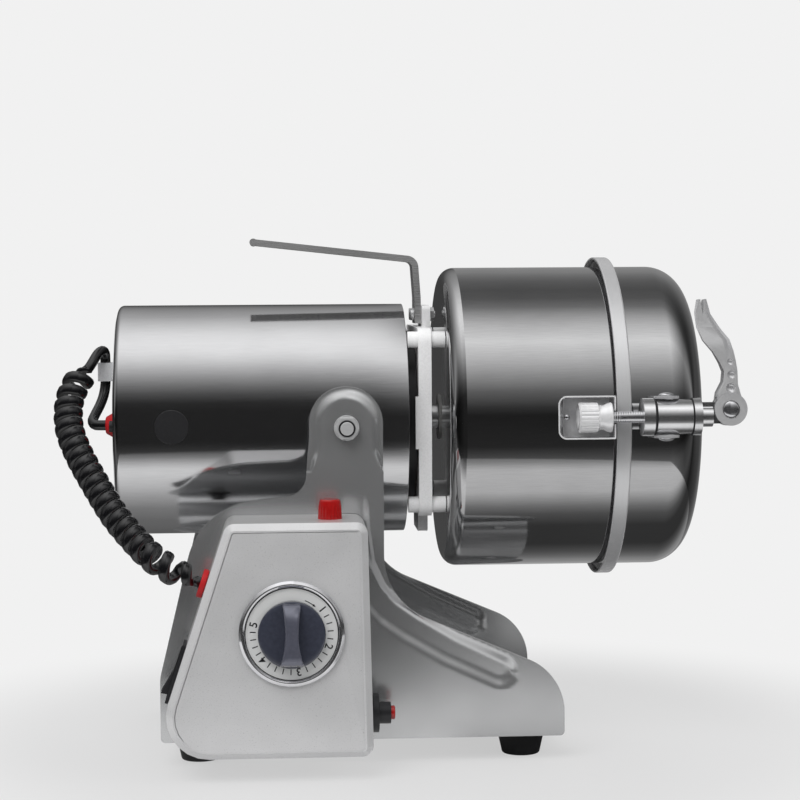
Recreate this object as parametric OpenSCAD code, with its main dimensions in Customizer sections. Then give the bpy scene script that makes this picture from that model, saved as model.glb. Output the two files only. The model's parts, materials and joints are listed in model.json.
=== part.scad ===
// Swing-type electric grain mill: a horizontal motor and grinding bowl that turn between two cheeks.
// Units are millimetres. +Z is up, +X points along the mill from the motor to the lid, and -Y is the
// side with the control box. The origin is at floor level, under the middle of the whole mill.

/* [Stand] */
// Height of the swing axis above the floor
axis_h = 213; // [205:1:240]
// Room between the motor shell and each cheek
cheek_room = 15; // [12:0.5:24]
// Thickness of each cheek
cheek_t = 4; // [3:0.5:6]
// Width of the cheek arm that holds the swing axis
arm_w = 46; // [40:1:56]
// Height of the arm top above the swing axis
arm_rise = 25.5; // [23:0.5:32]
// How far the cheek's face stands out from the rim round its head
boss_raise = 4; // [2:0.5:5]
// Width of the sloping rim round the head
boss_border = 7; // [5:0.5:8]
// Reach of the cheek behind the swing axis
cheek_rear = 118; // [112:1:130]
// Reach of the cheek in front of the swing axis
cheek_front = 137; // [125:1:150]
// Height of the front end of the cheek above the floor
toe_h = 55; // [50:1:60]
// Width of the pressed groove in the cheek
groove_w = 16; // [10:1:18]
// Depth of the pressed groove in the cheek
groove_depth = 2; // [1:0.1:2.5]
// Thickness of the base pan
pan_t = 2.5; // [2:0.5:4]
// Height of the pan's side flanges
pan_flange_h = 14; // [10:1:20]

/* [Feet] */
// Height of each rubber foot
foot_h = 16; // [12:1:20]
// Diameter of a foot where it meets the pan
foot_top_d = 31; // [24:1:34]
// Diameter of a foot on the floor
foot_low_d = 24; // [18:1:30]
// Distance of the rear feet behind the swing axis
foot_rear = 94; // [80:1:100]
// Distance of the front feet in front of the swing axis
foot_front = 112; // [90:1:118]
// Distance of each foot from the mill's middle plane
foot_side = 72; // [60:1:72]
// Diameter of the foot screws and of the box screws
screw_d = 4; // [3:0.5:5]

/* [Swing axis] */
// Diameter of the trunnion studs
stud_d = 10; // [8:0.5:12]
// Diameter of the bosses that carry the studs
stud_boss_d = 34; // [28:1:38]
// Wall of the trunnion bushes
bush_wall = 3; // [2:0.5:4]
// Size of the trunnion nuts across their flats
swing_nut_af = 16; // [15:0.5:19]
// Thickness of the trunnion nuts
swing_nut_t = 7; // [5:0.5:9]

/* [Motor] */
// Diameter of the motor shell
motor_d = 152; // [146:1:158]
// Wall of the motor shell
motor_wall = 1.2; // [1:0.1:2]
// Reach of the motor shell behind the swing axis
motor_rear = 147; // [142:1:152]
// Reach of the motor shell in front of the swing axis
motor_front = 41; // [36:1:44]
// Diameter of the rotor shaft
shaft_d = 15; // [12:0.5:17]
// Outer diameter of the bearings
bearing_d = 32; // [28:1:36]
// Width of the bearings
bearing_w = 10; // [8:1:12]
// Outer diameter of the stator core
stator_d = 120; // [110:1:130]
// Bore of the stator core
stator_bore = 63; // [60:1:68]
// Air gap between the armature and the stator
air_gap = 0.6; // [0.4:0.1:1]
// Length of the stator and armature cores
core_len = 60; // [50:1:66]
// Diameter of the commutator
commutator_d = 40; // [36:1:42]
// Diameter of the cooling fan
fan_d = 112; // [100:1:124]
// Diameter of the round brush caps
cap_d = 21.6; // [20:0.5:24]
// Distance of the brushes behind the swing axis
brush_x = 110; // [108:1:111]

/* [Flange casting] */
// Side of the square flange plate
flange_side = 122; // [118:1:128]
// Thickness of the flange plate
flange_t = 8.5; // [6:0.5:9]
// Diameter of the pillars
pillar_d = 10.5; // [9.5:0.5:12]
// Distance of each pillar from the mill axis, across and up
pillar_off = 53.5; // [53:0.5:54]
// Diameter of the bolts that hold the bowl on the pillars
bowl_bolt_d = 5; // [4:0.5:6]

/* [Chamber] */
// Distance of the bowl's bottom in front of the swing axis
bowl_x = 66; // [66:0.5:69]
// Outer diameter of the bowl and of the lid
bowl_d = 199.6; // [194:0.2:204]
// Wall of the bowl and of the lid
bowl_wall = 1.5; // [1:0.1:2.5]
// Thickness of the bowl's bottom
bowl_floor = 3; // [2:0.5:4]
// Corner radius round the bowl's bottom
bowl_corner = 10; // [6:1:12]
// Distance of the joint between bowl and lid in front of the swing axis
joint_x = 174; // [170:1:178]
// Distance of the lid's end in front of the swing axis
lid_x = 229; // [226:1:236]
// Corner radius round the lid's end
lid_corner = 24; // [16:1:30]
// How far the raised band round the joint stands out from the bowl
band_rise = 6.5; // [4.7:0.1:6.7]
// Width of the raised band
band_w = 9.5; // [8:0.5:11]
// Thickness of the lid gasket
gasket_t = 3; // [2:0.5:4]

/* [Blades] */
// Length of each blade from tip to tip
blade_len = 172; // [150:1:182]
// Width of each blade
blade_w = 22; // [16:1:26]
// Thickness of each blade
blade_t = 2.5; // [2:0.5:3]
// Distance from one blade to the next
blade_step = 11; // [9:0.5:12]
// Number of blades
blade_count = 3; // [2:1:3]

/* [Carry handle] */
// Thickness of the handle's strap
strap_t = 4.2; // [3:0.2:5]
// Width of the handle's strap
handle_w = 24; // [22:1:30]
// Reach of the handle's grip behind the swing axis
grip_x = 57.5; // [50:0.5:70]
// Height of the grip above the mill axis
grip_z = 117.4; // [115:0.2:126]

/* [Locks] */
// Distance of the lock studs from the bowl's wall
lock_off = 20.2; // [20.2:0.1:23.2]
// Angle of the near lock above the level plane
lock_angle = 3; // [0:1:15]
// Distance of the lock hinge in front of the swing axis
hinge_x = 198; // [197:0.5:199]
// Diameter of the lock stud
lock_stud_d = 6.5; // [6:0.1:7]
// Diameter of the knurled nut
knurl_d = 19; // [17:0.5:20]
// Length of the knurled nut
knurl_len = 21; // [18:1:22]
// Diameter of the barrel
barrel_d = 21.6; // [20:0.2:22]
// Diameter of the discs at the barrel's ends
disc_d = 23.6; // [22.6:0.2:24]
// Width of the slotted hood, across the stud
hood_w = 27; // [25:1:29]
// Length of the hood along the stud
hood_len = 36; // [35:1:37]
// Distance of the lever's pin in front of the swing axis
lever_x = 237.5; // [235:0.5:239]
// Height of the lever's pin above the middle of the stud
lever_rise = 4.4; // [0:0.2:5]
// Diameter of the lever's round hub
lever_hub_d = 21; // [19:0.5:21.5]
// Length of the lever's arm above its pin
lever_len = 68; // [60:1:74]
// Thickness of the lever
lever_t = 12; // [10:0.5:13]
// Diameter of the lever's pin and of the hinge pins
pin_d = 6; // [5:0.2:6.4]

/* [Control box] */
// Depth of the box, from the cheek to its front
box_depth = 51; // [47:1:58]
// Height of the top of the box above the floor
box_top = 159; // [156:1:166]
// Height of the bottom of the box above the floor
box_low = 15.5; // [12:0.5:20]
// Distance of the box's right side in front of the swing axis, at the top
box_right = 10.5; // [8:0.5:16]
// Distance of the box's top left corner behind the swing axis
box_left = 75; // [72:0.5:80]
// How far the slanted side leans out, for each unit of height
box_slant = 0.33; // [0.28:0.01:0.36]
// Wall of the box
box_wall = 1.8; // [1.4:0.1:2.5]
// Width of the sloping border round the box's front
box_border = 4; // [3:0.5:5]
// Thickness of the front panel
panel_t = 1.6; // [1.2:0.1:2]

/* [Controls] */
// Distance of the timer knob behind the swing axis
timer_x = 36; // [34:0.5:38]
// Height of the timer knob above the floor
timer_z = 92.6; // [88:0.2:98]
// Outer diameter of the timer bezel
bezel_d = 64.5; // [62:0.5:70]
// Diameter of the timer knob
knob_d = 41; // [36:0.5:44]
// Height of the timer knob's ridge above the dial
knob_h = 16; // [12:0.5:20]
// Diameter of the red indicator cap at its foot
lamp_d = 16.4; // [15:0.2:17.4]
// Diameter of the red indicator cap at its top
lamp_top_d = 12.6; // [11:0.2:14]
// Height of the red indicator cap
lamp_h = 12; // [10:0.5:14]
// Distance of the indicator cap behind the swing axis
lamp_x = 11.6; // [10:0.2:16]
// Length of the power rocker, along the slanted side
rocker_len = 32; // [26:0.5:34]
// Width of the power rocker
rocker_w = 15; // [12:0.5:18]
// Height of the power rocker's middle above the floor
rocker_z = 65.5; // [64:0.5:68]
// Height of the breaker above the floor
breaker_z = 38; // [34:0.5:50]
// Diameter of the breaker's flange
breaker_flange_d = 24; // [20:0.5:26]
// Diameter of the breaker's neck
breaker_neck_d = 13.5; // [12:0.5:15]
// Diameter of the red reset button
reset_d = 8.6; // [7:0.2:9.4]
// How far the reset button stands out of its neck
reset_out = 2.6; // [2.2:0.1:4]
// Height of the cord grommet on the slanted side
grommet_z = 119.5; // [116:0.5:124]
// Diameter of the cord grommet on the box
grommet_d = 18; // [17:0.5:20]

/* [Cord] */
// Diameter of the cord itself
cord_d = 6.6; // [5.4:0.1:6.8]
// Outer diameter of the curly cord's turns
curl_d = 19.6; // [17:0.2:20]

/* [Hidden] */
$fn = 72;
arc_steps = 7;
fit = 0.1;            // gap of two pieces of one body that sit in each other
run = 0.05;           // radial running clearance of a shaft or pin
gap = 0.4;            // gap between flat faces that move past each other
bore_over = 2;        // how far a cutting tool runs past a face

// ---- places that follow from the sizes above
motor_r = motor_d / 2;
shell_in = motor_r - motor_wall;
bowl_r = bowl_d / 2;
bowl_in = bowl_r - bowl_wall;
band_d = bowl_d + 2 * band_rise;
lock_r = bowl_r + lock_off;
cheek_gap = motor_d + 2 * cheek_room;
cheek_in = cheek_gap / 2;
face_in = cheek_in + boss_raise;
cheek_out = face_in + cheek_t;
box_back = cheek_out + 0.2;
box_front = cheek_out + box_depth;
box_mid = cheek_out + box_depth / 2;
arm_top = axis_h + arm_rise;
toe_slope = tan(22.9);     // fall of the cheek's upper edge towards the toe
shoulder_drop = 48.5;      // from the swing axis down to the cheek's rear shoulder
rim_drop = 30;             // from the swing axis down to the ends of the head's rim
pan_end = 5;               // how far the base pan stops short of the cheeks' ends
pan_flange_t = 2;
head_t = 2.3;              // thickness of a screw's head
nut_t = 3.2;               // thickness of a small hex nut
clip_len = 12;
rear_face = motor_rear + 0.6;
knob_front = box_front + 2.2 + knob_h;
pivot_x = (rear_face + clip_len - lever_x - lever_hub_d / 2) / 2;
plane_y = (knob_front - lock_r - disc_d / 2) / 2;

// ---- outlines: a corner is [x, y, radius], and the outline runs anticlockwise
function unit(v) = v / norm(v);
function left_of(v) = [-v[1], v[0]];
function cross2(a, b) = a[0] * b[1] - a[1] * b[0];
function flat(c) = [c[0], c[1]];
function at(list, i) = list[(i + len(list)) % len(list)];

// The arc that rounds one corner, as points
function corner_arc(c, before, after) =
    let (
        p = flat(c),
        u = unit(flat(before) - p),
        w = unit(flat(after) - p),
        half = acos(max(-1, min(1, u * w))) / 2,
        middle = p + unit(u + w) * c[2] / sin(half),
        first = p + u * c[2] / tan(half) - middle,
        last = p + w * c[2] / tan(half) - middle,
        from = atan2(first[1], first[0]),
        sweep = (atan2(last[1], last[0]) - from + 540) % 360 - 180
    )
    [for (i = [0:arc_steps]) middle + c[2] * [cos(from + sweep * i / arc_steps),
        sin(from + sweep * i / arc_steps)]];

// A closed outline with its corners rounded
function rounded(corners) = [for (i = [0:len(corners) - 1])
    each (corners[i][2] <= 0 ? [flat(corners[i])]
        : corner_arc(corners[i], at(corners, i - 1), at(corners, i + 1)))];

// An open line with its inner corners rounded
function rounded_line(corners) = [for (i = [0:len(corners) - 1])
    each (corners[i][2] <= 0 ? [flat(corners[i])]
        : corner_arc(corners[i], corners[i - 1], corners[i + 1]))];

// The same corners, with every edge moved inwards
function inset(corners, by) = [for (i = [0:len(corners) - 1])
    let (
        p = flat(corners[i]),
        e1 = unit(p - flat(at(corners, i - 1))),
        e2 = unit(flat(at(corners, i + 1)) - p),
        n1 = left_of(e1),
        n2 = left_of(e2),
        q = p + (n1 + n2) * by / (1 + n1 * n2),
        r = corners[i][2] - by * sign(cross2(e1, e2))
    )
    [q[0], q[1], max(r, 0.3)]];

// A strip of even width along a line of points
function strip(line, w) =
    let (
        n = len(line) - 1,
        side = [for (i = [0:n])
            left_of(unit(line[min(i + 1, n)] - line[max(i - 1, 0)])) * w / 2]
    )
    concat([for (i = [0:n]) line[i] - side[i]], [for (i = [n:-1:0]) line[i] + side[i]]);

function rectangle(x0, y0, x1, y1, r = 0) = [[x0, y0, r], [x1, y0, r], [x1, y1, r], [x0, y1, r]];

// ---- frames and plain shapes
module mill_frame() {
    translate([pivot_x, plane_y, axis_h]) children();
}

module stand_frame() {
    translate([pivot_x, plane_y, 0]) children();
}

// A lock's own frame: X along the mill, Y out of the page of the bowl, Z across the stud
module lock_frame(far = false) {
    mill_frame() mirror([0, far ? 1 : 0, 0]) rotate([-lock_angle, 0, 0])
        translate([0, -lock_r, 0]) children();
}

// An outline that stands in the XZ plane, from y down to y - thick
module upright(outline, y, thick) {
    translate([0, y, 0]) rotate([90, 0, 0]) linear_extrude(height = thick) polygon(outline);
}

// An outline in the YZ plane, from x up to x + thick
module across(outline, x, thick) {
    translate([x, 0, 0]) rotate([90, 0, 90]) linear_extrude(height = thick) polygon(outline);
}

module bar_x(x0, x1, r) {
    translate([x0, 0, 0]) rotate([0, 90, 0]) cylinder(h = x1 - x0, r = r);
}

module tube_x(x0, x1, outer, inner) {
    difference() {
        bar_x(x0, x1, outer);
        bar_x(x0 - bore_over, x1 + bore_over, inner);
    }
}

module bar_y(y0, y1, r) {
    translate([0, y0, 0]) rotate([-90, 0, 0]) cylinder(h = y1 - y0, r = r);
}

// A profile of [radius, x] corners turned round the X axis
module turned_x(corners) {
    rotate([0, 90, 0]) rotate_extrude() polygon(rounded(corners));
}

// A profile of [radius, height] corners turned round the Y axis, heights towards -Y
module turned_y(corners) {
    rotate([90, 0, 0]) rotate_extrude() polygon(rounded(corners));
}

module hex(af, h) {
    cylinder(h = h, r = af / sqrt(3), $fn = 6);
}

module box_at(low, high) {
    translate(low) cube(high - low);
}

// Mirrors its children to the far side of the mill as well
module both_sides() {
    children();
    mirror([0, 1, 0]) children();
}

// A round tube swept along points, with the ring directions carried along without twist
function ring_dirs(path) = [for (i = [0:len(path) - 1])
    unit(path[min(i + 1, len(path) - 1)] - path[max(i - 1, 0)])];

function carried(dirs, i, before) =
    let (v = unit(before - dirs[i] * (before * dirs[i])))
    i == len(dirs) - 1 ? [v] : concat([v], carried(dirs, i + 1, v));

module swept_tube(path, r, sides, start_up) {
    dirs = ring_dirs(path);
    ups = carried(dirs, 0, start_up);
    n = len(path);
    points = [for (i = [0:n - 1]) each [for (k = [0:sides - 1])
        path[i] + r * (cos(360 * k / sides) * ups[i] + sin(360 * k / sides) * cross(dirs[i], ups[i]))]];
    walls = [for (i = [0:n - 2]) each [for (k = [0:sides - 1])
        [i * sides + k, (i + 1) * sides + k, (i + 1) * sides + (k + 1) % sides, i * sides + (k + 1) % sides]]];
    polyhedron(points, concat([[for (k = [0:sides - 1]) k]], walls,
        [[for (k = [sides - 1:-1:0]) (n - 1) * sides + k]]));
}

// ---- stand
function cheek_outline() =
    let (
        half = arm_w / 2,
        fork_h = toe_h + (cheek_front - half) * toe_slope,
        shoulder_h = axis_h - shoulder_drop
    ) [
        [-cheek_rear, foot_h, 3],
        [cheek_front, foot_h, 3],
        [cheek_front, toe_h, 36],
        [half, fork_h, 44],
        [half, arm_top, half - 0.2],
        [-half, arm_top, half - 0.2],
        [-half - 0.5, axis_h - 8, 30],
        [-half - 3.5, shoulder_h + 7, 13],
        [-0.78 * cheek_rear, shoulder_h, 48],
        [-cheek_rear, foot_h + 41, 30]
    ];

// The outline of the face: as the cheek's, but drawn in round the head by the rim
function face_outline() =
    let (full = cheek_outline(), half = arm_w / 2, neck = half - boss_border, waist_h = axis_h - 14) concat(
        [for (i = [0:3]) full[i]],
        [[half, axis_h - rim_drop + 2, 4], [neck, waist_h, 12], [neck, arm_top - boss_border, neck - 0.2],
            [-neck, arm_top - boss_border, neck - 0.2], [-neck, waist_h, 14],
            [-half - 0.5, axis_h - rim_drop + 4, 3]],
        [for (i = [7:9]) full[i]]);

function head_outline(by, low) =
    let (half = arm_w / 2 - by)
    rounded([[half, low, 2], [half, arm_top - by, half - 0.2], [-half, arm_top - by, half - 0.2],
        [-half, low, 2]]);

function groove_line() =
    let (half = arm_w / 2, bend_h = toe_h + 0.7 * (cheek_front - half) * toe_slope)
    rounded_line([[5, axis_h - 42, 0], [8, bend_h, 50],
        [cheek_front - 36, bend_h - (cheek_front - 44) * toe_slope, 0]]);

module foot_spots() {
    for (x = [-foot_rear, foot_front], y = [-foot_side, foot_side]) translate([x, y, 0]) children();
}

// The four screws that hold the box, in posts that stand against its walls
function box_screw_spots() =
    let (post = box_wall + screw_d - 0.8)
    [[-box_left + 4, box_top - post], [box_right - post, box_top - post],
        [box_right + 3 - post, box_low + post], [-box_left - 10, box_low + post]];

module side_plate(near) {
    rim_end = axis_h - rim_drop - 4;
    difference() {
        union() {
            upright(rounded(face_outline()), -face_in, cheek_t);
            upright(strip(groove_line(), groove_w + 3), -face_in + groove_depth, groove_depth + 1);
            upright(head_outline(0, rim_end), -cheek_in, boss_raise);
            hull() {
                upright(head_outline(0.3, rim_end), -face_in + 0.5, 0.6);
                upright(head_outline(boss_border, rim_end), -cheek_out + 0.5, 0.5);
            }
        }
        upright(head_outline(boss_border + 1, rim_end - 20), -cheek_in + 1, boss_raise + 1);
        upright(strip(groove_line(), groove_w), -cheek_out + groove_depth, groove_depth + 1);
        translate([0, 0, axis_h]) bar_y(-cheek_out - 1, -cheek_in + 1, stud_d / 2 + bush_wall + fit);
        if (near) {
            for (p = box_screw_spots()) translate([p[0], 0, p[1]]) {
                bar_y(-cheek_out - 1, -cheek_in + 1, screw_d / 2 + fit);
                bar_y(-face_in, -cheek_in + 1, screw_d + 0.4);
            }
            translate([gland_x, 0, gland_z]) bar_y(-cheek_out - 1, -cheek_in + 1, gland_d / 2 + fit);
        }
    }
}

module side_plate_near() {
    color("darkgray") stand_frame() side_plate(true);
}

module side_plate_far() {
    color("darkgray") stand_frame() mirror([0, 1, 0]) side_plate(false);
}

module base_pan() {
    x0 = -cheek_rear + pan_end;
    x1 = cheek_front - pan_end;
    side = face_in - fit;
    notch = screw_d + 0.8;
    color("gray") stand_frame() difference() {
        union() {
            box_at([x0, -side, foot_h], [x1, side, foot_h + pan_t]);
            both_sides() box_at([x0, -side, foot_h], [x1, -side + pan_flange_t, foot_h + pan_flange_h]);
        }
        foot_spots() translate([0, 0, foot_h - 1]) cylinder(h = pan_t + 2, r = screw_d / 2 + fit);
        for (p = box_screw_spots()) translate([p[0], 0, p[1]])
            box_at([-notch, -side - 1, -notch - 1], [notch, -side + head_t + 0.3, notch]);
    }
}

module feet() {
    color("black") stand_frame() foot_spots() difference() {
        cylinder(h = foot_h, r1 = foot_low_d / 2, r2 = foot_top_d / 2);
        translate([0, 0, -1]) cylinder(h = foot_h / 2 + 1, r = screw_d + 1);
        cylinder(h = foot_h + 1, r = screw_d / 2 + fit);
    }
}

module stand_screws() {
    color("silver") {
        stand_frame() foot_spots() {
            translate([0, 0, foot_h / 2 - head_t - fit]) cylinder(h = head_t, r = screw_d);
            translate([0, 0, foot_h / 2 - 0.5]) cylinder(h = foot_h / 2 + pan_t + nut_t + 1, r = screw_d / 2);
            translate([0, 0, foot_h + pan_t + fit]) difference() {
                hex(screw_d * 1.75, nut_t);
                translate([0, 0, -1]) cylinder(h = nut_t + 2, r = screw_d / 2 - 0.02);
            }
        }
        stand_frame() for (p = box_screw_spots()) translate([p[0], 0, p[1]]) {
            bar_y(-face_in + fit, -face_in + head_t, screw_d);
            bar_y(-box_front + 12, -face_in + 1, screw_d / 2);
        }
    }
}

module trunnion_bushes() {
    color("ivory") mill_frame() both_sides() difference() {
        bar_y(-cheek_out + fit, -face_in - fit, stud_d / 2 + bush_wall);
        bar_y(-cheek_out - 1, -cheek_in + 1, stud_d / 2 + run);
    }
}

// ---- control box
box_tilt = atan(box_slant);
box_left_low = box_left + box_slant * (box_top - box_low);
function box_outline() = [[-box_left_low, box_low, 26], [box_right + 3, box_low, 7],
    [box_right, box_top, 7], [-box_left, box_top, 7]];

// A point on the slanted side, at height z
function slant_at(z) = [-box_left - box_slant * (box_top - z), -box_mid, z];

// A frame on the slanted side: X out of the box, Z up along the side
module slant_frame(z) {
    stand_frame() translate(slant_at(z)) rotate([0, box_tilt, 0]) mirror([1, 0, 0]) children();
}

pocket_in = box_border + 1.1;   // from the outline to the pocket that takes the panel
ledge_in = pocket_in + 3;       // from the outline to the opening behind the panel
neck_room = 0.3;                // clearance round each neck that passes a wall

module box_surround() {
    outline = box_outline();
    back = -box_back;
    front = -box_front;
    color("silver") difference() {
        union() {
            stand_frame() difference() {
                hull() {
                    upright(rounded(outline), back, box_depth - box_border);
                    upright(rounded(inset(outline, box_border)), front + 1, 1);
                }
                upright(rounded(inset(outline, box_wall)), back + 1, box_depth - 4.6);
                upright(rounded(inset(outline, ledge_in)), back, box_depth + 1);
                upright(rounded(inset(outline, pocket_in)), front + panel_t + fit, 4);
            }
            stand_frame() for (p = box_screw_spots()) translate([p[0], 0, p[1]])
                bar_y(front + 3, back, screw_d);
        }
        stand_frame() for (p = box_screw_spots()) translate([p[0], 0, p[1]])
            bar_y(front + 10, back + 1, screw_d / 2 + run);
        stand_frame() translate([-lamp_x, -box_mid, box_top - 6])
            cylinder(h = 12, r = lamp_d / 4 + neck_room);
        stand_frame() translate([0, -box_mid, breaker_z])
            bar_x(box_right - 6, box_right + 8, breaker_neck_d / 2 + neck_room);
        slant_frame(grommet_z) bar_x(-6, 6, grommet_d / 2 - 2.5 + neck_room);
        slant_frame(rocker_z) box_at([-6, -rocker_w / 2 - 2.8, -rocker_len / 2 - 1.3],
            [6, rocker_w / 2 + 2.8, rocker_len / 2 + 1.3]);
    }
}

module box_front_panel() {
    color("gainsboro") stand_frame() difference() {
        upright(rounded(inset(box_outline(), pocket_in + 0.4)), -box_front + panel_t, panel_t);
        translate([-timer_x, 0, timer_z]) bar_y(-box_front - 1, -box_front + panel_t + 1, bezel_d / 2 - 2.2);
    }
}

module timer_frame() {
    stand_frame() translate([-timer_x, -box_front, timer_z]) children();
}

bezel_in = bezel_d / 2 - 3.7;
module timer_bezel() {
    color("lightgray") timer_frame() turned_y([
        [bezel_in, -panel_t - 1.6, 0], [bezel_in + 1.2, -panel_t - 1.6, 0], [bezel_in + 1.2, fit, 0],
        [bezel_d / 2, fit, 0.5], [bezel_d / 2, 2.4, 1.2], [bezel_in + 1.6, 4.2, 1], [bezel_in, 3.4, 0.6]]);
}

module timer_dial() {
    color("whitesmoke") timer_frame() turned_y([
        [shaft_hole, 0.3, 0], [bezel_in - fit, 0.3, 0], [bezel_in - fit, 1.3, 0], [shaft_hole, 1.3, 0]]);
}

spindle_d = 6;
shaft_hole = spindle_d / 2 + 2.4;
works_side = 50;
works_back = panel_t + fit + 32;
module timer_works() {
    half = works_side / 2;
    color("dimgray") timer_frame() difference() {
        union() {
            box_at([-half, panel_t + 1.8, -half], [half, works_back, half]);
            bar_y(-1, panel_t + 3, shaft_hole - fit);
        }
        bar_y(-3, works_back + 1, spindle_d / 2 + run);
    }
}

knob_base = 6;
module timer_knob() {
    foot = 2.2;
    wide = knob_d / 2 - 1;
    color("slateblue") timer_frame() difference() {
        union() {
            turned_y([[0, foot, 0], [knob_d / 2, foot, 0.6], [knob_d / 2 - 0.8, foot + knob_base, 1.5],
                [0, foot + knob_base, 0]]);
            upright([[-7.5, -wide + 2], [7.5, -wide + 2], [5.4, -4], [5.4, wide - 2], [-5.4, wide - 2],
                [-5.4, -4]], -foot - knob_base + 1, knob_h - knob_base + 1);
        }
        bar_y(-foot - knob_h + 3, 0, spindle_d / 2 + run);
    }
}

module timer_spindle() {
    color("silver") timer_frame() bar_y(-2.2 - knob_h + 3.2, works_back - 2, spindle_d / 2);
}

module indicator_cap() {
    ribs = 18;
    lamp_lean = atan((lamp_d - lamp_top_d) / 2 / lamp_h);
    color("red") stand_frame() translate([-lamp_x, -box_mid, box_top + fit]) {
        cylinder(h = lamp_h, r1 = lamp_d / 2 - 0.4, r2 = lamp_top_d / 2);
        cylinder(h = 1.6, r = lamp_d / 2);
        translate([0, 0, -14]) cylinder(h = 14.5, r = lamp_d / 4);
        for (i = [0:ribs - 1]) rotate([0, 0, 360 * i / ribs])
            translate([lamp_d / 2 - 0.8, 0, 1]) rotate([0, -lamp_lean, 0]) cylinder(h = lamp_h - 2, r = 0.7);
    }
}

rocker_flange = 2;
rocker_axis = 0.4;       // height of the rocker's axis above the slanted side
module rocker_housing() {
    half_w = rocker_w / 2;
    half_l = rocker_len / 2;
    color("black") slant_frame(rocker_z) difference() {
        union() {
            box_at([fit, -half_w - 3.5, -half_l - 2.6], [rocker_flange, half_w + 3.5, half_l + 2.6]);
            box_at([-18, -half_w - 2.4, -half_l - 1], [1, half_w + 2.4, half_l + 1]);
        }
        box_at([-12, -half_w - 0.4, -half_l - 0.2], [4, half_w + 0.4, half_l + 0.2]);
        translate([rocker_axis, 0, 0]) bar_y(-half_w - 1.6, half_w + 1.6, 1.5 + run);
    }
}

// The rocker's side view: two top faces that meet in a shallow V, one end pressed in
rocker_turn = 14;
module power_rocker() {
    half_w = rocker_w / 2;
    half_l = rocker_len / 2;
    tip = half_l - 1.4;
    color("black") slant_frame(rocker_z) translate([rocker_axis, 0, 0]) {
        rotate([0, -rocker_turn / 2, 0])
            upright([[2.4, 0], [3.9, tip], [-2, tip - 1.2], [-4.2, 4], [-4.2, -4], [-2, -tip + 1.2],
                [3.9, -tip]], half_w, rocker_w);
        bar_y(-half_w - 1.4, half_w + 1.4, 1.5);
    }
}

breaker_face = box_right + 3.2;
breaker_neck_end = breaker_face + 11.4;
breaker_bore_x = box_right - 8;
module breaker_body() {
    color("black") stand_frame() translate([0, -box_mid, breaker_z]) difference() {
        union() {
            bar_x(breaker_face, breaker_face + 4, breaker_flange_d / 2);
            bar_x(box_right - 4, breaker_neck_end, breaker_neck_d / 2);
            box_at([box_right - 28, -9, -12], [box_right - 0.9 - box_wall, 9, 12]);
        }
        bar_x(breaker_bore_x, breaker_neck_end + 1, reset_d / 2 + run);
    }
}

reset_travel = 2;
module reset_button() {
    color("red") stand_frame() translate([0, -box_mid, breaker_z])
        bar_x(breaker_bore_x + reset_travel + 1, breaker_neck_end + reset_out, reset_d / 2);
}

grommet_out = 3.7;
module box_grommet() {
    color("red") slant_frame(grommet_z) difference() {
        union() {
            bar_x(fit, grommet_out, grommet_d / 2);
            bar_x(-box_wall - 2.5, 1, grommet_d / 2 - 2.5);
        }
        bar_x(-10, grommet_out - 1.2, cord_d / 2 + fit);
    }
}

gland_x = -cheek_rear + 34;
gland_z = foot_h + 26;
gland_d = 12;
module mains_gland() {
    color("black") stand_frame() translate([gland_x, 0, gland_z]) difference() {
        union() {
            bar_y(-cheek_out - 3, -face_in + 1, gland_d / 2);
            bar_y(-face_in + fit, -face_in + 3, gland_d / 2 + 2.5);
            translate([0, -face_in + 1, 0]) rotate([-90, 0, 0])
                cylinder(h = 22, r1 = gland_d / 2, r2 = gland_d / 2 - 1.6);
        }
        bar_y(-cheek_out - 4, -cheek_in + 24, cord_d / 2 + 0.3);
    }
}

// ---- motor
shell_lip = 6;           // how far the shell's rear end turns in
shell_corner = 2.8;
cap_neck_r = cap_d / 2 - 1.5;
module motor_shell() {
    color("silver") mill_frame() difference() {
        turned_x([
            [motor_r, -motor_rear, 4], [motor_r, motor_front, 0], [shell_in, motor_front, 0],
            [shell_in, -motor_rear + motor_wall, shell_corner],
            [motor_r - shell_lip, -motor_rear + motor_wall, 0], [motor_r - shell_lip, -motor_rear, 0]]);
        translate([-brush_x, 0, 0]) bar_y(-motor_d, motor_d, cap_neck_r + fit);
    }
}

cover_t = 2;
cover_screw_r = motor_r - 11;
slot_out = cover_screw_r - 5;      // outer and inner ends of the vent slots
slot_in = slot_out - 16;
slot_w = 3.2;
module motor_rear_cover() {
    slots = 24;
    cover_r = shell_in - shell_corner - 0.2;
    in_x = -motor_rear + motor_wall + fit;
    color("silver") mill_frame() difference() {
        union() {
            bar_x(in_x, in_x + cover_t, cover_r);
            bar_x(-rear_face, in_x + 1, motor_r - shell_lip - fit);
        }
        for (i = [0:slots - 1]) rotate([360 * (i + 0.5) / slots, 0, 0])
            box_at([-rear_face - 1, -slot_w / 2, slot_in], [in_x + cover_t + 1, slot_w / 2, slot_out]);
        translate(grommet_rear_at) bar_x(-rear_face - 1, in_x + cover_t + 1, grommet_rear_d / 2 - 2 + fit);
    }
}

module rear_cover_screws() {
    color("silver") mill_frame() for (a = [90, 210, 330]) rotate([a, 0, 0])
        translate([0, 0, cover_screw_r]) bar_x(-rear_face - head_t + fit, -rear_face - fit, screw_d * 0.9);
}

module brush_caps() {
    color("dimgray") mill_frame() both_sides() translate([-brush_x, 0, 0])
        turned_y([[0, shell_in - 4, 0], [cap_neck_r, shell_in - 4, 0],
            [cap_neck_r, motor_r + fit, 0], [cap_d / 2, motor_r + fit, 0],
            [cap_d / 2, motor_r + 0.9, 0.4], [0, motor_r + 0.9, 0]]);
}

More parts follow.
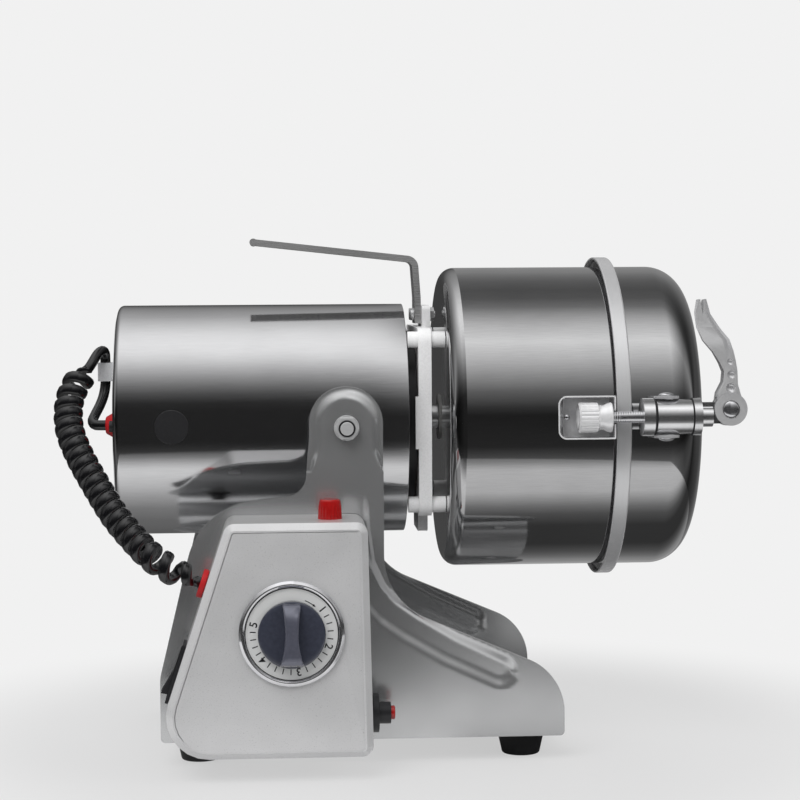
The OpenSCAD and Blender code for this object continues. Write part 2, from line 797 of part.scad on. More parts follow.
rear_bearing_x = -130;
front_bearing_x = motor_front - 13;
rear_bracket_x = -128;
bracket_t = 6;
web_in = bearing_d / 2 + 10;       // where the openings of both brackets begin
module rear_bracket() {
    seat = bearing_d / 2 + run;
    reach = shell_in - 12.8;
    end = rear_bracket_x + bracket_t;
    color("gray") mill_frame() difference() {
        union() {
            bar_x(rear_bracket_x, end, shell_in - fit);
            both_sides() box_at([end - 1, web_in, -brush_w], [-brush_x - holder_w / 2 - 0.2, reach, brush_w]);
        }
        bar_x(rear_bracket_x - 1, end + 1, seat);
        for (i = [0:3]) rotate([45 + 90 * i, 0, 0])
            box_at([rear_bracket_x - 1, web_in, -12], [end + 1, reach, 12]);
    }
}

module front_bracket() {
    seat = bearing_d / 2 + run;
    nose_x = flange_x - 0.2;
    nose_r = flange_side / 2 - 3;
    color("black") mill_frame() difference() {
        union() {
            bar_x(motor_front - 11, motor_front, shell_in - fit);
            bar_x(motor_front - 1, nose_x, nose_r);
            bar_x(front_bearing_x - 2, motor_front, bearing_d / 2 + 5);
        }
        bar_x(front_bearing_x - 3, front_bearing_x + bearing_w + fit, seat);
        bar_x(front_bearing_x, nose_x + 1, shaft_d / 2 + 2);
        for (i = [0:5]) rotate([60 * i, 0, 0])
            box_at([motor_front - 12, web_in, -10], [nose_x + 1, nose_r - 8, 10]);
    }
}

core_x = -45;
module stator_core() {
    color("darkslategray") mill_frame() intersection() {
        difference() {
            union() {
                bar_x(core_x - core_len / 2, core_x + core_len / 2, stator_d / 2);
                for (a = [0, 90]) rotate([a, 0, 0])
                    box_at([core_x - core_len / 2, -shell_in, -11], [core_x + core_len / 2, shell_in, 11]);
            }
            bar_x(core_x - core_len, core_x + core_len, stator_bore / 2);
        }
        bar_x(core_x - core_len, core_x + core_len, shell_in - 0.15);
    }
}

module field_windings() {
    reach = core_len / 2 + fit;
    color("peru") mill_frame() for (s = [-1, 1]) translate([core_x, 0, 0]) mirror([s < 0 ? 1 : 0, 0, 0])
        turned_x([[stator_bore / 2 + 5, reach, 0], [stator_d / 2 - 4, reach, 0],
            [stator_d / 2 - 6, reach + 14, 4], [stator_bore / 2 + 7, reach + 14, 4]]);
}

module motor_bearings() {
    color("lightsteelblue") mill_frame() for (x = [rear_bearing_x, front_bearing_x])
        tube_x(x, x + bearing_w, bearing_d / 2, shaft_d / 2 + run);
}

brush_w = 9;
brush_len = 24;
holder_w = brush_w + 5;
module brush_holders() {
    color("goldenrod") mill_frame() both_sides() difference() {
        box_at([-brush_x - holder_w / 2, -shell_in + 4.2, -holder_w / 2 + 0.5],
            [-brush_x + holder_w / 2, -commutator_d / 2 - 4, holder_w / 2 - 0.5]);
        box_at([-brush_x - brush_w / 2 - fit, -motor_r, -brush_w / 2 - fit],
            [-brush_x + brush_w / 2 + fit, -commutator_d / 2 - 3, brush_w / 2 + fit]);
    }
}

module carbon_brushes() {
    color("black") mill_frame() both_sides() difference() {
        box_at([-brush_x - brush_w / 2, -commutator_d / 2 - brush_len, -brush_w / 2],
            [-brush_x + brush_w / 2, -commutator_d / 2 + 4, brush_w / 2]);
        bar_x(-brush_x - brush_w, -brush_x + brush_w, commutator_d / 2 + 0.3);
    }
}

module trunnion_studs() {
    color("gray") mill_frame() both_sides() difference() {
        union() {
            bar_y(-cheek_in + gap, -motor_r + 8, stud_boss_d / 2);
            bar_y(-face_in + gap, -cheek_in + 1, stud_d / 2 + bush_wall + 2);
            bar_y(-cheek_out - swing_nut_t - 2.6, -cheek_in + 2, stud_d / 2);
        }
        bar_x(-stud_boss_d, stud_boss_d, motor_r + fit);
    }
}

module trunnion_nuts() {
    start = cheek_out + gap;
    color("silver") mill_frame() both_sides() translate([0, -start, 0]) rotate([90, 0, 0]) difference() {
        union() {
            cylinder(h = 1.4, r = swing_nut_af / 2 + 1.6);
            hex(swing_nut_af, swing_nut_t);
        }
        translate([0, 0, -1]) cylinder(h = swing_nut_t + 2, r = stud_d / 2 + run);
    }
}

// ---- flange casting and what it carries
flange_x = motor_front + 7;
pillar_x0 = motor_front + 0.4;
tab_rise = 14;           // how far the handle's tab stands above the flange plate
tab_top = flange_side / 2 + tab_rise;
tab_x = flange_x + 5.4;
handle_bolt_z = tab_top - 6;
handle_bolt_d = 4.4;
bolt_y = handle_w / 4;
module pillar_spots() {
    for (y = [-pillar_off, pillar_off], z = [-pillar_off, pillar_off]) translate([0, y, z]) children();
}

module flange_casting() {
    half = flange_side / 2;
    pad_h = 17;
    color("gainsboro") mill_frame() difference() {
        union() {
            across(rounded(rectangle(-half, -half, half, half, 9)), flange_x, flange_t);
            pillar_spots() bar_x(pillar_x0, bowl_x - 0.3, pillar_d / 2);
            both_sides() box_at([flange_x - 2, half - 2.2, -pad_h], [flange_x + 1, half, pad_h]);
            across(rounded(rectangle(-handle_w / 2 - 8, half - 3, handle_w / 2 + 8, tab_top, 3)), tab_x, 5.6);
            across(rounded(rectangle(-handle_w / 2 - 8, -tab_top, handle_w / 2 + 8, -half + 3, 3)),
                flange_x + 2, 6.5);
        }
        bar_x(flange_x - 3, flange_x + flange_t + 1, shaft_d / 2 + 4);
        pillar_spots() bar_x(flange_x, bowl_x + 1, bowl_bolt_d / 2 + fit);
        for (y = [-bolt_y, bolt_y]) translate([0, y, handle_bolt_z])
            bar_x(tab_x - 1, tab_x + 7, handle_bolt_d / 2 + fit);
    }
}

module bowl_bolts() {
    inside = bowl_x + bowl_floor;
    color("silver") mill_frame() pillar_spots() {
        bar_x(flange_x + 1, inside + 1, bowl_bolt_d / 2);
        bar_x(inside + fit, inside + 3.4, bowl_bolt_d * 0.9);
    }
}

leg_x = tab_x - strap_t / 2 - fit;
strap_front = leg_x - strap_t / 2;

// The strap's middle line: up from the tab, over its bend and back over the motor
function handle_line() = rounded_line([[leg_x, handle_bolt_z - 6, 0], [leg_x, tab_top + 5, 20],
    [leg_x - 1.8, grip_z - 12, 6], [-grip_x, grip_z, 0]]);

module carry_handle() {
    color("silver") mill_frame() difference() {
        union() {
            upright(strip(handle_line(), strap_t), handle_w / 2, handle_w);
            translate([-grip_x, 0, grip_z]) bar_y(-handle_w / 2, handle_w / 2, strap_t / 2 + 0.4);
        }
        for (y = [-bolt_y, bolt_y]) translate([0, y, handle_bolt_z])
            bar_x(strap_front - 1, tab_x + 1, handle_bolt_d / 2 + fit);
    }
}

module handle_bolts() {
    back = tab_x + 5.6;
    color("silver") mill_frame() for (y = [-bolt_y, bolt_y]) translate([0, y, handle_bolt_z]) {
        bar_x(strap_front - 2.5, strap_front - fit, 4);
        bar_x(strap_front - 1, back + nut_t + 1, handle_bolt_d / 2);
        translate([back + fit, 0, 0]) rotate([0, 90, 0]) difference() {
            hex(8, nut_t);
            translate([0, 0, -1]) cylinder(h = nut_t + 2, r = handle_bolt_d / 2 + run);
        }
    }
}

// ---- chamber
seal_r = 15;
module shaft_seal() {
    color("black") mill_frame() tube_x(bowl_x - 1, bowl_x + bowl_floor + 1, seal_r, shaft_d / 2 + run);
}

rim_t = 1.7;
rim_out = band_d / 2 - 2.3;
module grinding_bowl() {
    inside_corner = max(bowl_corner - bowl_wall, 1);
    color("silver") mill_frame() difference() {
        turned_x([
            [seal_r + fit, bowl_x, 0], [seal_r + fit, bowl_x + bowl_floor, 0],
            [bowl_in, bowl_x + bowl_floor, inside_corner], [bowl_in, joint_x, 0], [rim_out, joint_x, 0.4],
            [rim_out, joint_x - rim_t, 0.4], [bowl_r, joint_x - rim_t, 0], [bowl_r, bowl_x, bowl_corner]]);
        pillar_spots() bar_x(bowl_x - 1, bowl_x + bowl_floor + 1, bowl_bolt_d / 2 + fit);
    }
}

lid_start = joint_x + gasket_t + 0.2;
module lid_gasket() {
    color("white") mill_frame()
        tube_x(joint_x + fit, joint_x + fit + gasket_t, rim_out, bowl_in - 1);
}

module lid_shell() {
    color("silver") mill_frame() turned_x([
        [0, lid_x - bowl_wall, 0], [bowl_in, lid_x - bowl_wall, lid_corner - bowl_wall], [bowl_in, lid_start, 0],
        [bowl_r, lid_start, 0], [bowl_r, lid_x, lid_corner], [0, lid_x, 0]]);
}

band_t = 1.5;
band_end = lid_start + band_t + 0.3;
module lid_band() {
    outer = band_d / 2;
    color("lightgray") mill_frame() turned_x([
        [bowl_r + fit, lid_start + 0.1, 0], [outer - band_t, lid_start + 0.1, 0.8],
        [outer - band_t, band_end - band_w, 0], [outer, band_end - band_w, 0.5],
        [outer, band_end, 1.4], [bowl_r + fit, band_end, 0]]);
}

// ---- rotor
shaft_end = bowl_x + 12 + blade_step * (blade_count - 1) + 24;
thin_r = shaft_d / 2 - 1.5;
shoulder_x = bowl_x + 10;
module rotor_shaft() {
    color("silver") mill_frame() {
        bar_x(rear_bearing_x - 6, shoulder_x, shaft_d / 2);
        bar_x(shoulder_x - 1, shaft_end, thin_r);
    }
}

module armature() {
    r = stator_bore / 2 - air_gap;
    half = core_len / 2;
    color("sienna") mill_frame() translate([core_x, 0, 0]) {
        tube_x(-half, half, r, shaft_d / 2 + fit);
        for (s = [-1, 1]) mirror([s < 0 ? 1 : 0, 0, 0])
            turned_x([[shaft_d / 2 + fit, half + fit, 0], [r - 3, half + fit, 0], [r - 6, half + 12, 4],
                [shaft_d / 2 + fit, half + 15, 3]]);
    }
}

module commutator() {
    color("peru") mill_frame() tube_x(-brush_x - 9, -brush_x + 9, commutator_d / 2, shaft_d / 2 + fit);
}

fan_x = 6;
module cooling_fan() {
    vanes = 9;
    color("dimgray") mill_frame() difference() {
        union() {
            bar_x(fan_x, fan_x + 2, fan_d / 2);
            bar_x(fan_x, fan_x + 15, shaft_d / 2 + 7);
            for (i = [0:vanes - 1]) rotate([360 * i / vanes, 0, 0])
                box_at([fan_x + 1, -1, shaft_d / 2 + 5], [fan_x + 13, 1, fan_d / 2 - 1]);
        }
        bar_x(fan_x - 1, fan_x + 16, shaft_d / 2 + fit);
    }
}

first_blade_x = bowl_x + 12;
module blade_stack() {
    half = blade_len / 2;
    color("lightsteelblue") mill_frame() for (i = [0:blade_count - 1]) {
        x = first_blade_x + blade_step * i;
        rotate([60 * i + 25, 0, 0]) difference() {
            across(rounded([[-half, -blade_w * 0.2, 1], [-half * 0.2, -blade_w / 2, 6],
                [half, -blade_w / 2 + 1, 2], [half, blade_w * 0.2, 1], [half * 0.2, blade_w / 2, 6],
                [-half, blade_w / 2 - 1, 2]]), x, blade_t);
            bar_x(x - 1, x + blade_t + 1, thin_r + fit);
        }
        if (i < blade_count - 1)
            tube_x(x + blade_t + fit, x + blade_step - fit, thin_r + 5, thin_r + fit);
    }
    color("lightsteelblue") mill_frame()
        tube_x(shoulder_x + fit, first_blade_x - fit, thin_r + 5, thin_r + fit);
}

module blade_nut() {
    x = first_blade_x + blade_step * (blade_count - 1) + blade_t + fit;
    color("silver") mill_frame() translate([x, 0, 0]) rotate([0, 90, 0]) difference() {
        union() {
            cylinder(h = 2, r = thin_r + 6);
            hex(19, 12);
        }
        translate([0, 0, -1]) cylinder(h = 14, r = thin_r + fit);
    }
}

// ---- locks, each in its own frame: Y points inwards to the mill axis, Z lies across the stud
hood_x1 = hinge_x - 32;
hood_x0 = hood_x1 - hood_len;
hood_wall = 1.8;
hood_rise = 4;          // how far the hood's walls pass the stud's middle
nut_front = hood_x1 - hood_wall - 0.6;
seat_y = lock_r - bowl_r - fit;
module bowl_side_cut() {
    translate([0, lock_r, 0]) bar_x(0, 2 * lid_x, bowl_r + fit);
}

module lock_hood() {
    w = hood_w / 2;
    slot = lock_stud_d / 2 + 0.7;
    difference() {
        upright(rounded(rectangle(hood_x0, -w, hood_x1, w, 5)), seat_y + 4, seat_y + 4 + hood_rise);
        upright(rounded(rectangle(hood_x0 + hood_wall, -w + hood_wall, hood_x1 - hood_wall,
            w - hood_wall, 3.2)), seat_y - 2, seat_y + hood_rise + 2);
        bowl_side_cut();
        upright(rounded(rectangle(hood_x1 - 8, -slot, hood_x1 + 2, slot)), slot, slot + hood_rise + 2);
    }
}

module lock_hoods() {
    color("lightgray") for (far = [false, true]) lock_frame(far) lock_hood();
}

ear_in = barrel_d / 2 + gap;
ear_t = 1.8;
module lock_bracket() {
    ear = rounded([[hinge_x - 9, -5, 0], [hinge_x + 12, -5, 0], [hinge_x + 9, seat_y + 4, 0],
        [hinge_x - 9, seat_y + 4, 0]]);
    difference() {
        union() {
            for (s = [-1, 1]) translate([0, 0, s * (ear_in + ear_t / 2)]) {
                translate([hinge_x, 0, -ear_t / 2]) cylinder(h = ear_t, r = 8);
                box_at([hinge_x - 8, 0, -ear_t / 2], [hinge_x + 8, seat_y + 4, ear_t / 2]);
            }
            box_at([hinge_x - 8, seat_y - 1.8, -ear_in - ear_t], [hinge_x + 8, seat_y + 4, ear_in + ear_t]);
        }
        bowl_side_cut();
        translate([hinge_x, 0, -hood_w]) cylinder(h = 2 * hood_w, r = pin_d / 2 + run);
    }
    for (s = [0, 1]) mirror([0, 0, s]) translate([hinge_x, 0, 0]) {
        translate([0, 0, lock_stud_d / 2 + 4.2]) cylinder(h = ear_in + ear_t - lock_stud_d / 2 - 3, r = pin_d / 2);
        translate([0, 0, ear_in + ear_t + fit]) cylinder(h = 2, r1 = pin_d / 2 + 2, r2 = pin_d / 2 + 1);
    }
}

module lock_brackets() {
    color("silver") for (far = [false, true]) lock_frame(far) lock_bracket();
}

barrel_x0 = hinge_x - 9.5;
barrel_x1 = hinge_x + 17;
collar_x = barrel_x1 + 4;
module lock_arm() {
    eye_r = lever_hub_d / 2 - 3;
    difference() {
        union() {
            bar_x(barrel_x0, barrel_x1, barrel_d / 2);
            bar_x(barrel_x0 - 6, barrel_x0 + 1, disc_d / 2);
            bar_x(barrel_x1 - 1, collar_x, disc_d / 2);
        }
        bar_x(barrel_x0 - 7, collar_x + 1, lock_stud_d / 2 + run);
        for (s = [0, 1]) mirror([0, 0, s]) translate([hinge_x, 0, lock_stud_d / 2 + 4])
            cylinder(h = barrel_d, r = pin_d / 2 + run);
    }
    difference() {
        union() {
            bar_x(nut_front - knurl_len + 1.6, collar_x + 2, lock_stud_d / 2);
            bar_x(collar_x + fit, lever_x - lever_hub_d / 2 - gap, 6.5);
            box_at([collar_x + 1, -2.5, -4.5], [lever_x, 2.5, lever_rise + 4.5]);
            translate([lever_x, 2.5, lever_rise]) rotate([90, 0, 0]) cylinder(h = 5, r = eye_r);
        }
        translate([lever_x, 4, lever_rise]) rotate([90, 0, 0]) cylinder(h = 8, r = pin_d / 2 + run);
    }
    translate([lever_x, 0, lever_rise]) rotate([90, 0, 0]) {
        translate([0, 0, -lever_t / 2 - 0.8]) cylinder(h = lever_t + 1.2, r = pin_d / 2);
        translate([0, 0, lever_t / 2 + 0.4]) cylinder(h = 1.8, r1 = pin_d / 2 + 2.4, r2 = pin_d / 2 + 1.2);
    }
}

module knurled_nut() {
    x1 = nut_front;
    grooves = 24;
    difference() {
        union() {
            bar_x(x1 - 4, x1, knurl_d / 2 - 1);
            bar_x(x1 - knurl_len, x1 - 3, knurl_d / 2);
        }
        bar_x(x1 - knurl_len - 1, x1 + 1, lock_stud_d / 2 + run);
        for (i = [0:grooves - 1]) rotate([360 * i / grooves, 0, 0])
            translate([0, 0, knurl_d / 2]) bar_x(x1 - knurl_len - 1, x1 - 5, 0.6);
    }
}

// The lever's side view, from its pin: a round hub, an arm in a slack S and a forked tip
function lever_arm() =
    let (n = lever_len)
    rounded([[-8, -2, 0], [8, -2, 0], [4.4, n * 0.17, 10], [4.6, n * 0.42, 26], [-2.6, n * 0.66, 26],
        [-13, n * 0.84, 16], [-15.2, n, 0.6], [-18.4, n - 7, 0.8], [-22.4, n, 0.6], [-22.6, n * 0.84, 16],
        [-17.2, n * 0.65, 22], [-4.4, n * 0.42, 14], [-4.4, n * 0.22, 10]]);

module lock_lever() {
    slot = 5 + 2 * 0.35;
    difference() {
        translate([lever_x, 0, lever_rise]) union() {
            upright(lever_arm(), lever_t / 2 - 1, lever_t - 2);
            translate([0, lever_t / 2, 0]) rotate([90, 0, 0]) cylinder(h = lever_t, r = lever_hub_d / 2);
        }
        translate([lever_x, slot / 2, lever_rise]) rotate([90, 0, 0]) cylinder(h = slot, r = lever_hub_d / 2 + 1);
        translate([lever_x, lever_t, lever_rise]) rotate([90, 0, 0])
            cylinder(h = 2 * lever_t, r = pin_d / 2 + run);
        for (p = [[0.4, 0.24, 3], [0.4, 0.35, 2.8], [-1.0, 0.45, 2.4]])
            translate([lever_x + p[0], -lever_t / 2 + 1.6, lever_rise + lever_len * p[1]]) rotate([90, 0, 0])
                cylinder(h = 3, r = p[2]);
    }
}

module near_lock_arm() {
    color("lightgray") lock_frame() lock_arm();
}

module near_lock_nut() {
    color("white") lock_frame() knurled_nut();
}

module near_lock_lever() {
    color("gray") lock_frame() lock_lever();
}

module far_lock_arm() {
    color("lightgray") lock_frame(true) lock_arm();
}

module far_lock_nut() {
    color("white") lock_frame(true) knurled_nut();
}

module far_lock_lever() {
    color("gray") lock_frame(true) lock_lever();
}

// ---- cord, its clip and its rear grommet
grommet_rear_d = 16.4;
grommet_rear_out = 5.4;
grommet_rear_at = [0, -52, 0];
clip_y = -20;
clip_low = 27;
clip_high = 39;
clip_cord_x = 155;
module motor_grommet() {
    color("red") mill_frame() translate(grommet_rear_at) difference() {
        union() {
            translate([-rear_face - fit, 0, 0]) rotate([0, -90, 0])
                cylinder(h = grommet_rear_out - fit, r1 = grommet_rear_d / 2, r2 = grommet_rear_d / 2 - 3);
            bar_x(-rear_face - 1, -rear_face + 4.4, grommet_rear_d / 2 - 2);
        }
        bar_x(-rear_face - grommet_rear_out + 2, -rear_face + 6, cord_d / 2 + fit);
    }
}

module cord_clip() {
    color("gray") mill_frame() difference() {
        box_at([-rear_face - clip_len, clip_y - 6, clip_low], [-rear_face - fit, clip_y + 6, clip_high]);
        translate([-clip_cord_x, clip_y, clip_low - 1]) cylinder(h = clip_high - clip_low + 2, r = cord_d / 2 + fit);
    }
}

// Middle line of the curly stretch, from the box's grommet to the motor, from the swing axis
curl_route = [[-107, -124.5, 127.5], [-120, -118.5, 135], [-132, -106, 145], [-145, -94, 159],
    [-158, -81, 178], [-169, -69, 196], [-175.5, -60, 212], [-176, -52, 228], [-171.5, -46, 240],
    [-165, -41, 248.5]];
curl_start = slant_at(grommet_z) + grommet_out * [-cos(box_tilt), 0, sin(box_tilt)];
curl_second = curl_start + 10 * [-cos(box_tilt), 0, sin(box_tilt)];
curl_end = curl_route[len(curl_route) - 1];
curl_end_dir = unit(curl_end - curl_route[len(curl_route) - 2]);
// Middle line of the plain stretch over the clip and into the motor, from the swing axis
lead_end = [-rear_face - grommet_rear_out, grommet_rear_at[1], axis_h + grommet_rear_at[2]];
lead_route = [[-161.6, -37.4, 253.6], [-159.2, -32.5, 257.8], [-156.6, -27, 260], [-155.2, -22.5, 258.6],
    [-155, -20, 254], [-155, -20, 240], [-156, -23, 231.5], [-158, -29.5, 225], [-160.4, -38, 219.6],
    [-161.8, -45.5, 215.6], [-160, -50.6, 213.3], lead_end - [2.6, 0, 0], lead_end];

module curly_cord() {
    color("black") stand_frame() swept_tube(concat([curl_start, curl_second], curl_route), curl_d / 2, 10,
        [0, 0, 1]);
}

module cord_lead() {
    color("black") stand_frame() swept_tube(concat([curl_end, curl_end + 2.5 * curl_end_dir], lead_route),
        cord_d / 2, 8, [0, 1, 0]);
}

side_plate_near();
side_plate_far();
base_pan();
feet();
stand_screws();
trunnion_bushes();
box_surround();
box_front_panel();
timer_bezel();
timer_dial();
timer_works();
indicator_cap();
rocker_housing();
breaker_body();
box_grommet();
mains_gland();
timer_knob();
timer_spindle();
power_rocker();
reset_button();
motor_shell();
motor_rear_cover();
rear_cover_screws();
brush_caps();
rear_bracket();
front_bracket();
stator_core();
field_windings();
motor_bearings();
brush_holders();
carbon_brushes();
trunnion_studs();
trunnion_nuts();
flange_casting();
bowl_bolts();
shaft_seal();
grinding_bowl();
lid_shell();
lid_band();
lid_gasket();
carry_handle();
handle_bolts();
lock_hoods();
lock_brackets();
cord_clip();
motor_grommet();
rotor_shaft();
armature();
commutator();
cooling_fan();
blade_stack();
blade_nut();
near_lock_arm();
near_lock_nut();
near_lock_lever();
far_lock_arm();
far_lock_nut();
far_lock_lever();
curly_cord();
cord_lead();
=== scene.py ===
"""Looks of a swing-type electric grain mill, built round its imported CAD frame.

Everything is in metres, in the frame's own axes: +X runs along the mill from the motor to the lid,
-Y is the side with the control box, and +Z is up. Sizes in the classes are in millimetres, measured
from the swing axis (x), the mill's middle plane (y) and the floor or the mill axis (z).
"""

import json
import logging
import math
from contextlib import contextmanager
from dataclasses import dataclass, field
from enum import Enum
from typing import Iterator, Optional, Sequence, Union

import bmesh
import bpy
from mathutils import Matrix, Vector


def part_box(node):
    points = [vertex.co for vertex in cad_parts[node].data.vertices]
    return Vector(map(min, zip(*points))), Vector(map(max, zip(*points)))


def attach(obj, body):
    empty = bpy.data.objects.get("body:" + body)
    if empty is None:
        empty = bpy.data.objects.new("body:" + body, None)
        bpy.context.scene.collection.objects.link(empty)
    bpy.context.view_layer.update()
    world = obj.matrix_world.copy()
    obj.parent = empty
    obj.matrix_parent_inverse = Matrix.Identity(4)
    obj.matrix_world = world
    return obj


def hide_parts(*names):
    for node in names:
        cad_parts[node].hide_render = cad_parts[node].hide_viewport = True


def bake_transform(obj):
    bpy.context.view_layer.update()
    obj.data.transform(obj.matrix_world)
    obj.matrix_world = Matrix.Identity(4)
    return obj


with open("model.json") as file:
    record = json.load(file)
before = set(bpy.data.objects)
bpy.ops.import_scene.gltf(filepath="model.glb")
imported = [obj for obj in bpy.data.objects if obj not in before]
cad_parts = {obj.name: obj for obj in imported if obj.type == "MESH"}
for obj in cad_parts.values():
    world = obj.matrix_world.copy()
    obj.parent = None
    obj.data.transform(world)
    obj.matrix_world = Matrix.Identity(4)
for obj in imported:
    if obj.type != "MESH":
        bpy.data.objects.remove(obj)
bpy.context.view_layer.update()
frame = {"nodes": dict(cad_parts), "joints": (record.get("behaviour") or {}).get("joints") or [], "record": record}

logging.basicConfig(level=logging.INFO, format="%(message)s")
log = logging.getLogger("grain_mill")

Pair = tuple[float, float]
Point = tuple[float, float, float]
Colour = tuple[float, float, float]
Rounding = tuple[Union[str, float, int], ...]  # what refined_copy takes, in its order
Socket = bpy.types.NodeSocket
Inputs = dict[Union[str, int], object]

MM = 0.001
JOINTS = {joint["name"]: joint for joint in frame["joints"]}
PIVOT = Vector(JOINTS["swing"]["pos_m"])
STAND_FRAME = Matrix.Translation((PIVOT.x, PIVOT.y, 0.0)) @ Matrix.Scale(MM, 4)
MILL_FRAME = Matrix.Translation(PIVOT) @ Matrix.Scale(MM, 4)
UPRIGHT = Matrix(((1, 0, 0, 0), (0, 0, -1, 0), (0, 1, 0, 0), (0, 0, 0, 1)))
AS_DRAWN = Matrix.Identity(4)

WHITE = (1.0, 1.0, 1.0, 1.0)
EVENLY = (1.0, 1.0, 1.0)  # a noise that runs the same way along every axis
ACROSS_Y = (1.0, 0.0, 1.0)  # keeps X and Z, so that a length is measured from the Y axis
DRAWN_OUT = 0.02  # the share of the scale along a brushed surface
FINE_DETAIL = 3.0
SHEET_DETAIL = 1.0
RING_DETAIL = 2.0
BLOTCH_DETAIL = 2.0
BLOTCH_MM = 38  # the size of the broad, faint blotches on every surface
NOISE_REACH = (0.3, 0.7)  # the usual reach of a noise's values
EDGE_REACH = (0.52, 0.62)  # the pointiness of a slightly and of a fully rubbed edge
RUBBED_BRIGHTER = 1.5


# ---------------------------------------------------------------- finishes


@dataclass(frozen=True)
class Nodes:
    """Adds and links the nodes of one material or world."""

    tree: bpy.types.NodeTree

    def add(self, kind: str, inputs: Optional[Inputs] = None, **settings: object) -> bpy.types.Node:
        """Adds a node and sets it up.

        Args:
            kind: The node's type, without its prefix.
            inputs: Each input's value, or the socket that feeds it, by name or place.
            settings: The node's own settings by name.

        Returns:
            The new node.
        """
        node = self.tree.nodes.new(f"ShaderNode{kind}")
        for key, value in settings.items():
            setattr(node, key, value)
        self.fill(node, inputs or {})
        return node

    def fill(self, node: bpy.types.Node, inputs: Inputs) -> None:
        """Fills the inputs of a node.

        Args:
            node: The node to fill.
            inputs: Each input's value, or the socket that feeds it, by name or place.
        """
        for key, value in inputs.items():
            if isinstance(value, Socket):
                self.tree.links.new(value, node.inputs[key])
            else:
                node.inputs[key].default_value = value

    def maths(self, operation: str, *values: object) -> Socket:
        """Adds a math node of one or two values or sockets and gives its result."""
        return self.add("Math", dict(enumerate(values)), operation=operation).outputs["Value"]

    def spread(self, value: Socket, source: Pair, target: Pair, steps: str = "LINEAR") -> Socket:
        """Maps one range of a value onto another.

        Args:
            value: The socket to map.
            source: The ends of the range that is read.
            target: What those ends become.
            steps: How the value runs between them.

        Returns:
            The mapped socket.
        """
        inputs = {"Value": value, "From Min": source[0], "From Max": source[1],
                  "To Min": target[0], "To Max": target[1]}
        return self.add("MapRange", inputs, interpolation_type=steps).outputs["Result"]

    def blend(self, share: object, first: object, second: object, kind: str = "MIX") -> Socket:
        """Blends two colours.

        Args:
            share: How much of the second shows.
            first: The first colour or its socket.
            second: The second colour or its socket.
            kind: The way they are blended.

        Returns:
            The blended colour's socket.
        """
        inputs = {"Factor": share, "A": first, "B": second}
        return self.add("Mix", inputs, data_type="RGBA", blend_type=kind).outputs["Result"]

    def noise(self, stretch: Point, scale: float, detail: float) -> Socket:
        """Adds a noise on Object coordinates.

        Args:
            stretch: The share of the scale along each axis.
            scale: The number of grains in a metre.
            detail: The noise's detail.

        Returns:
            The noise's factor socket.
        """
        place = self.add("TexCoord").outputs["Object"]
        grain = self.add("Mapping", {"Vector": place, "Scale": stretch}).outputs["Vector"]
        inputs = {"Vector": grain, "Scale": scale, "Detail": detail}
        return self.add("TexNoise", inputs).outputs["Fac"]


class Grain(Enum):
    """How the fine pattern of a surface runs."""

    EVEN = "even"
    ALONG = "along"
    ROUND = "round"
    SHEETS = "sheets"


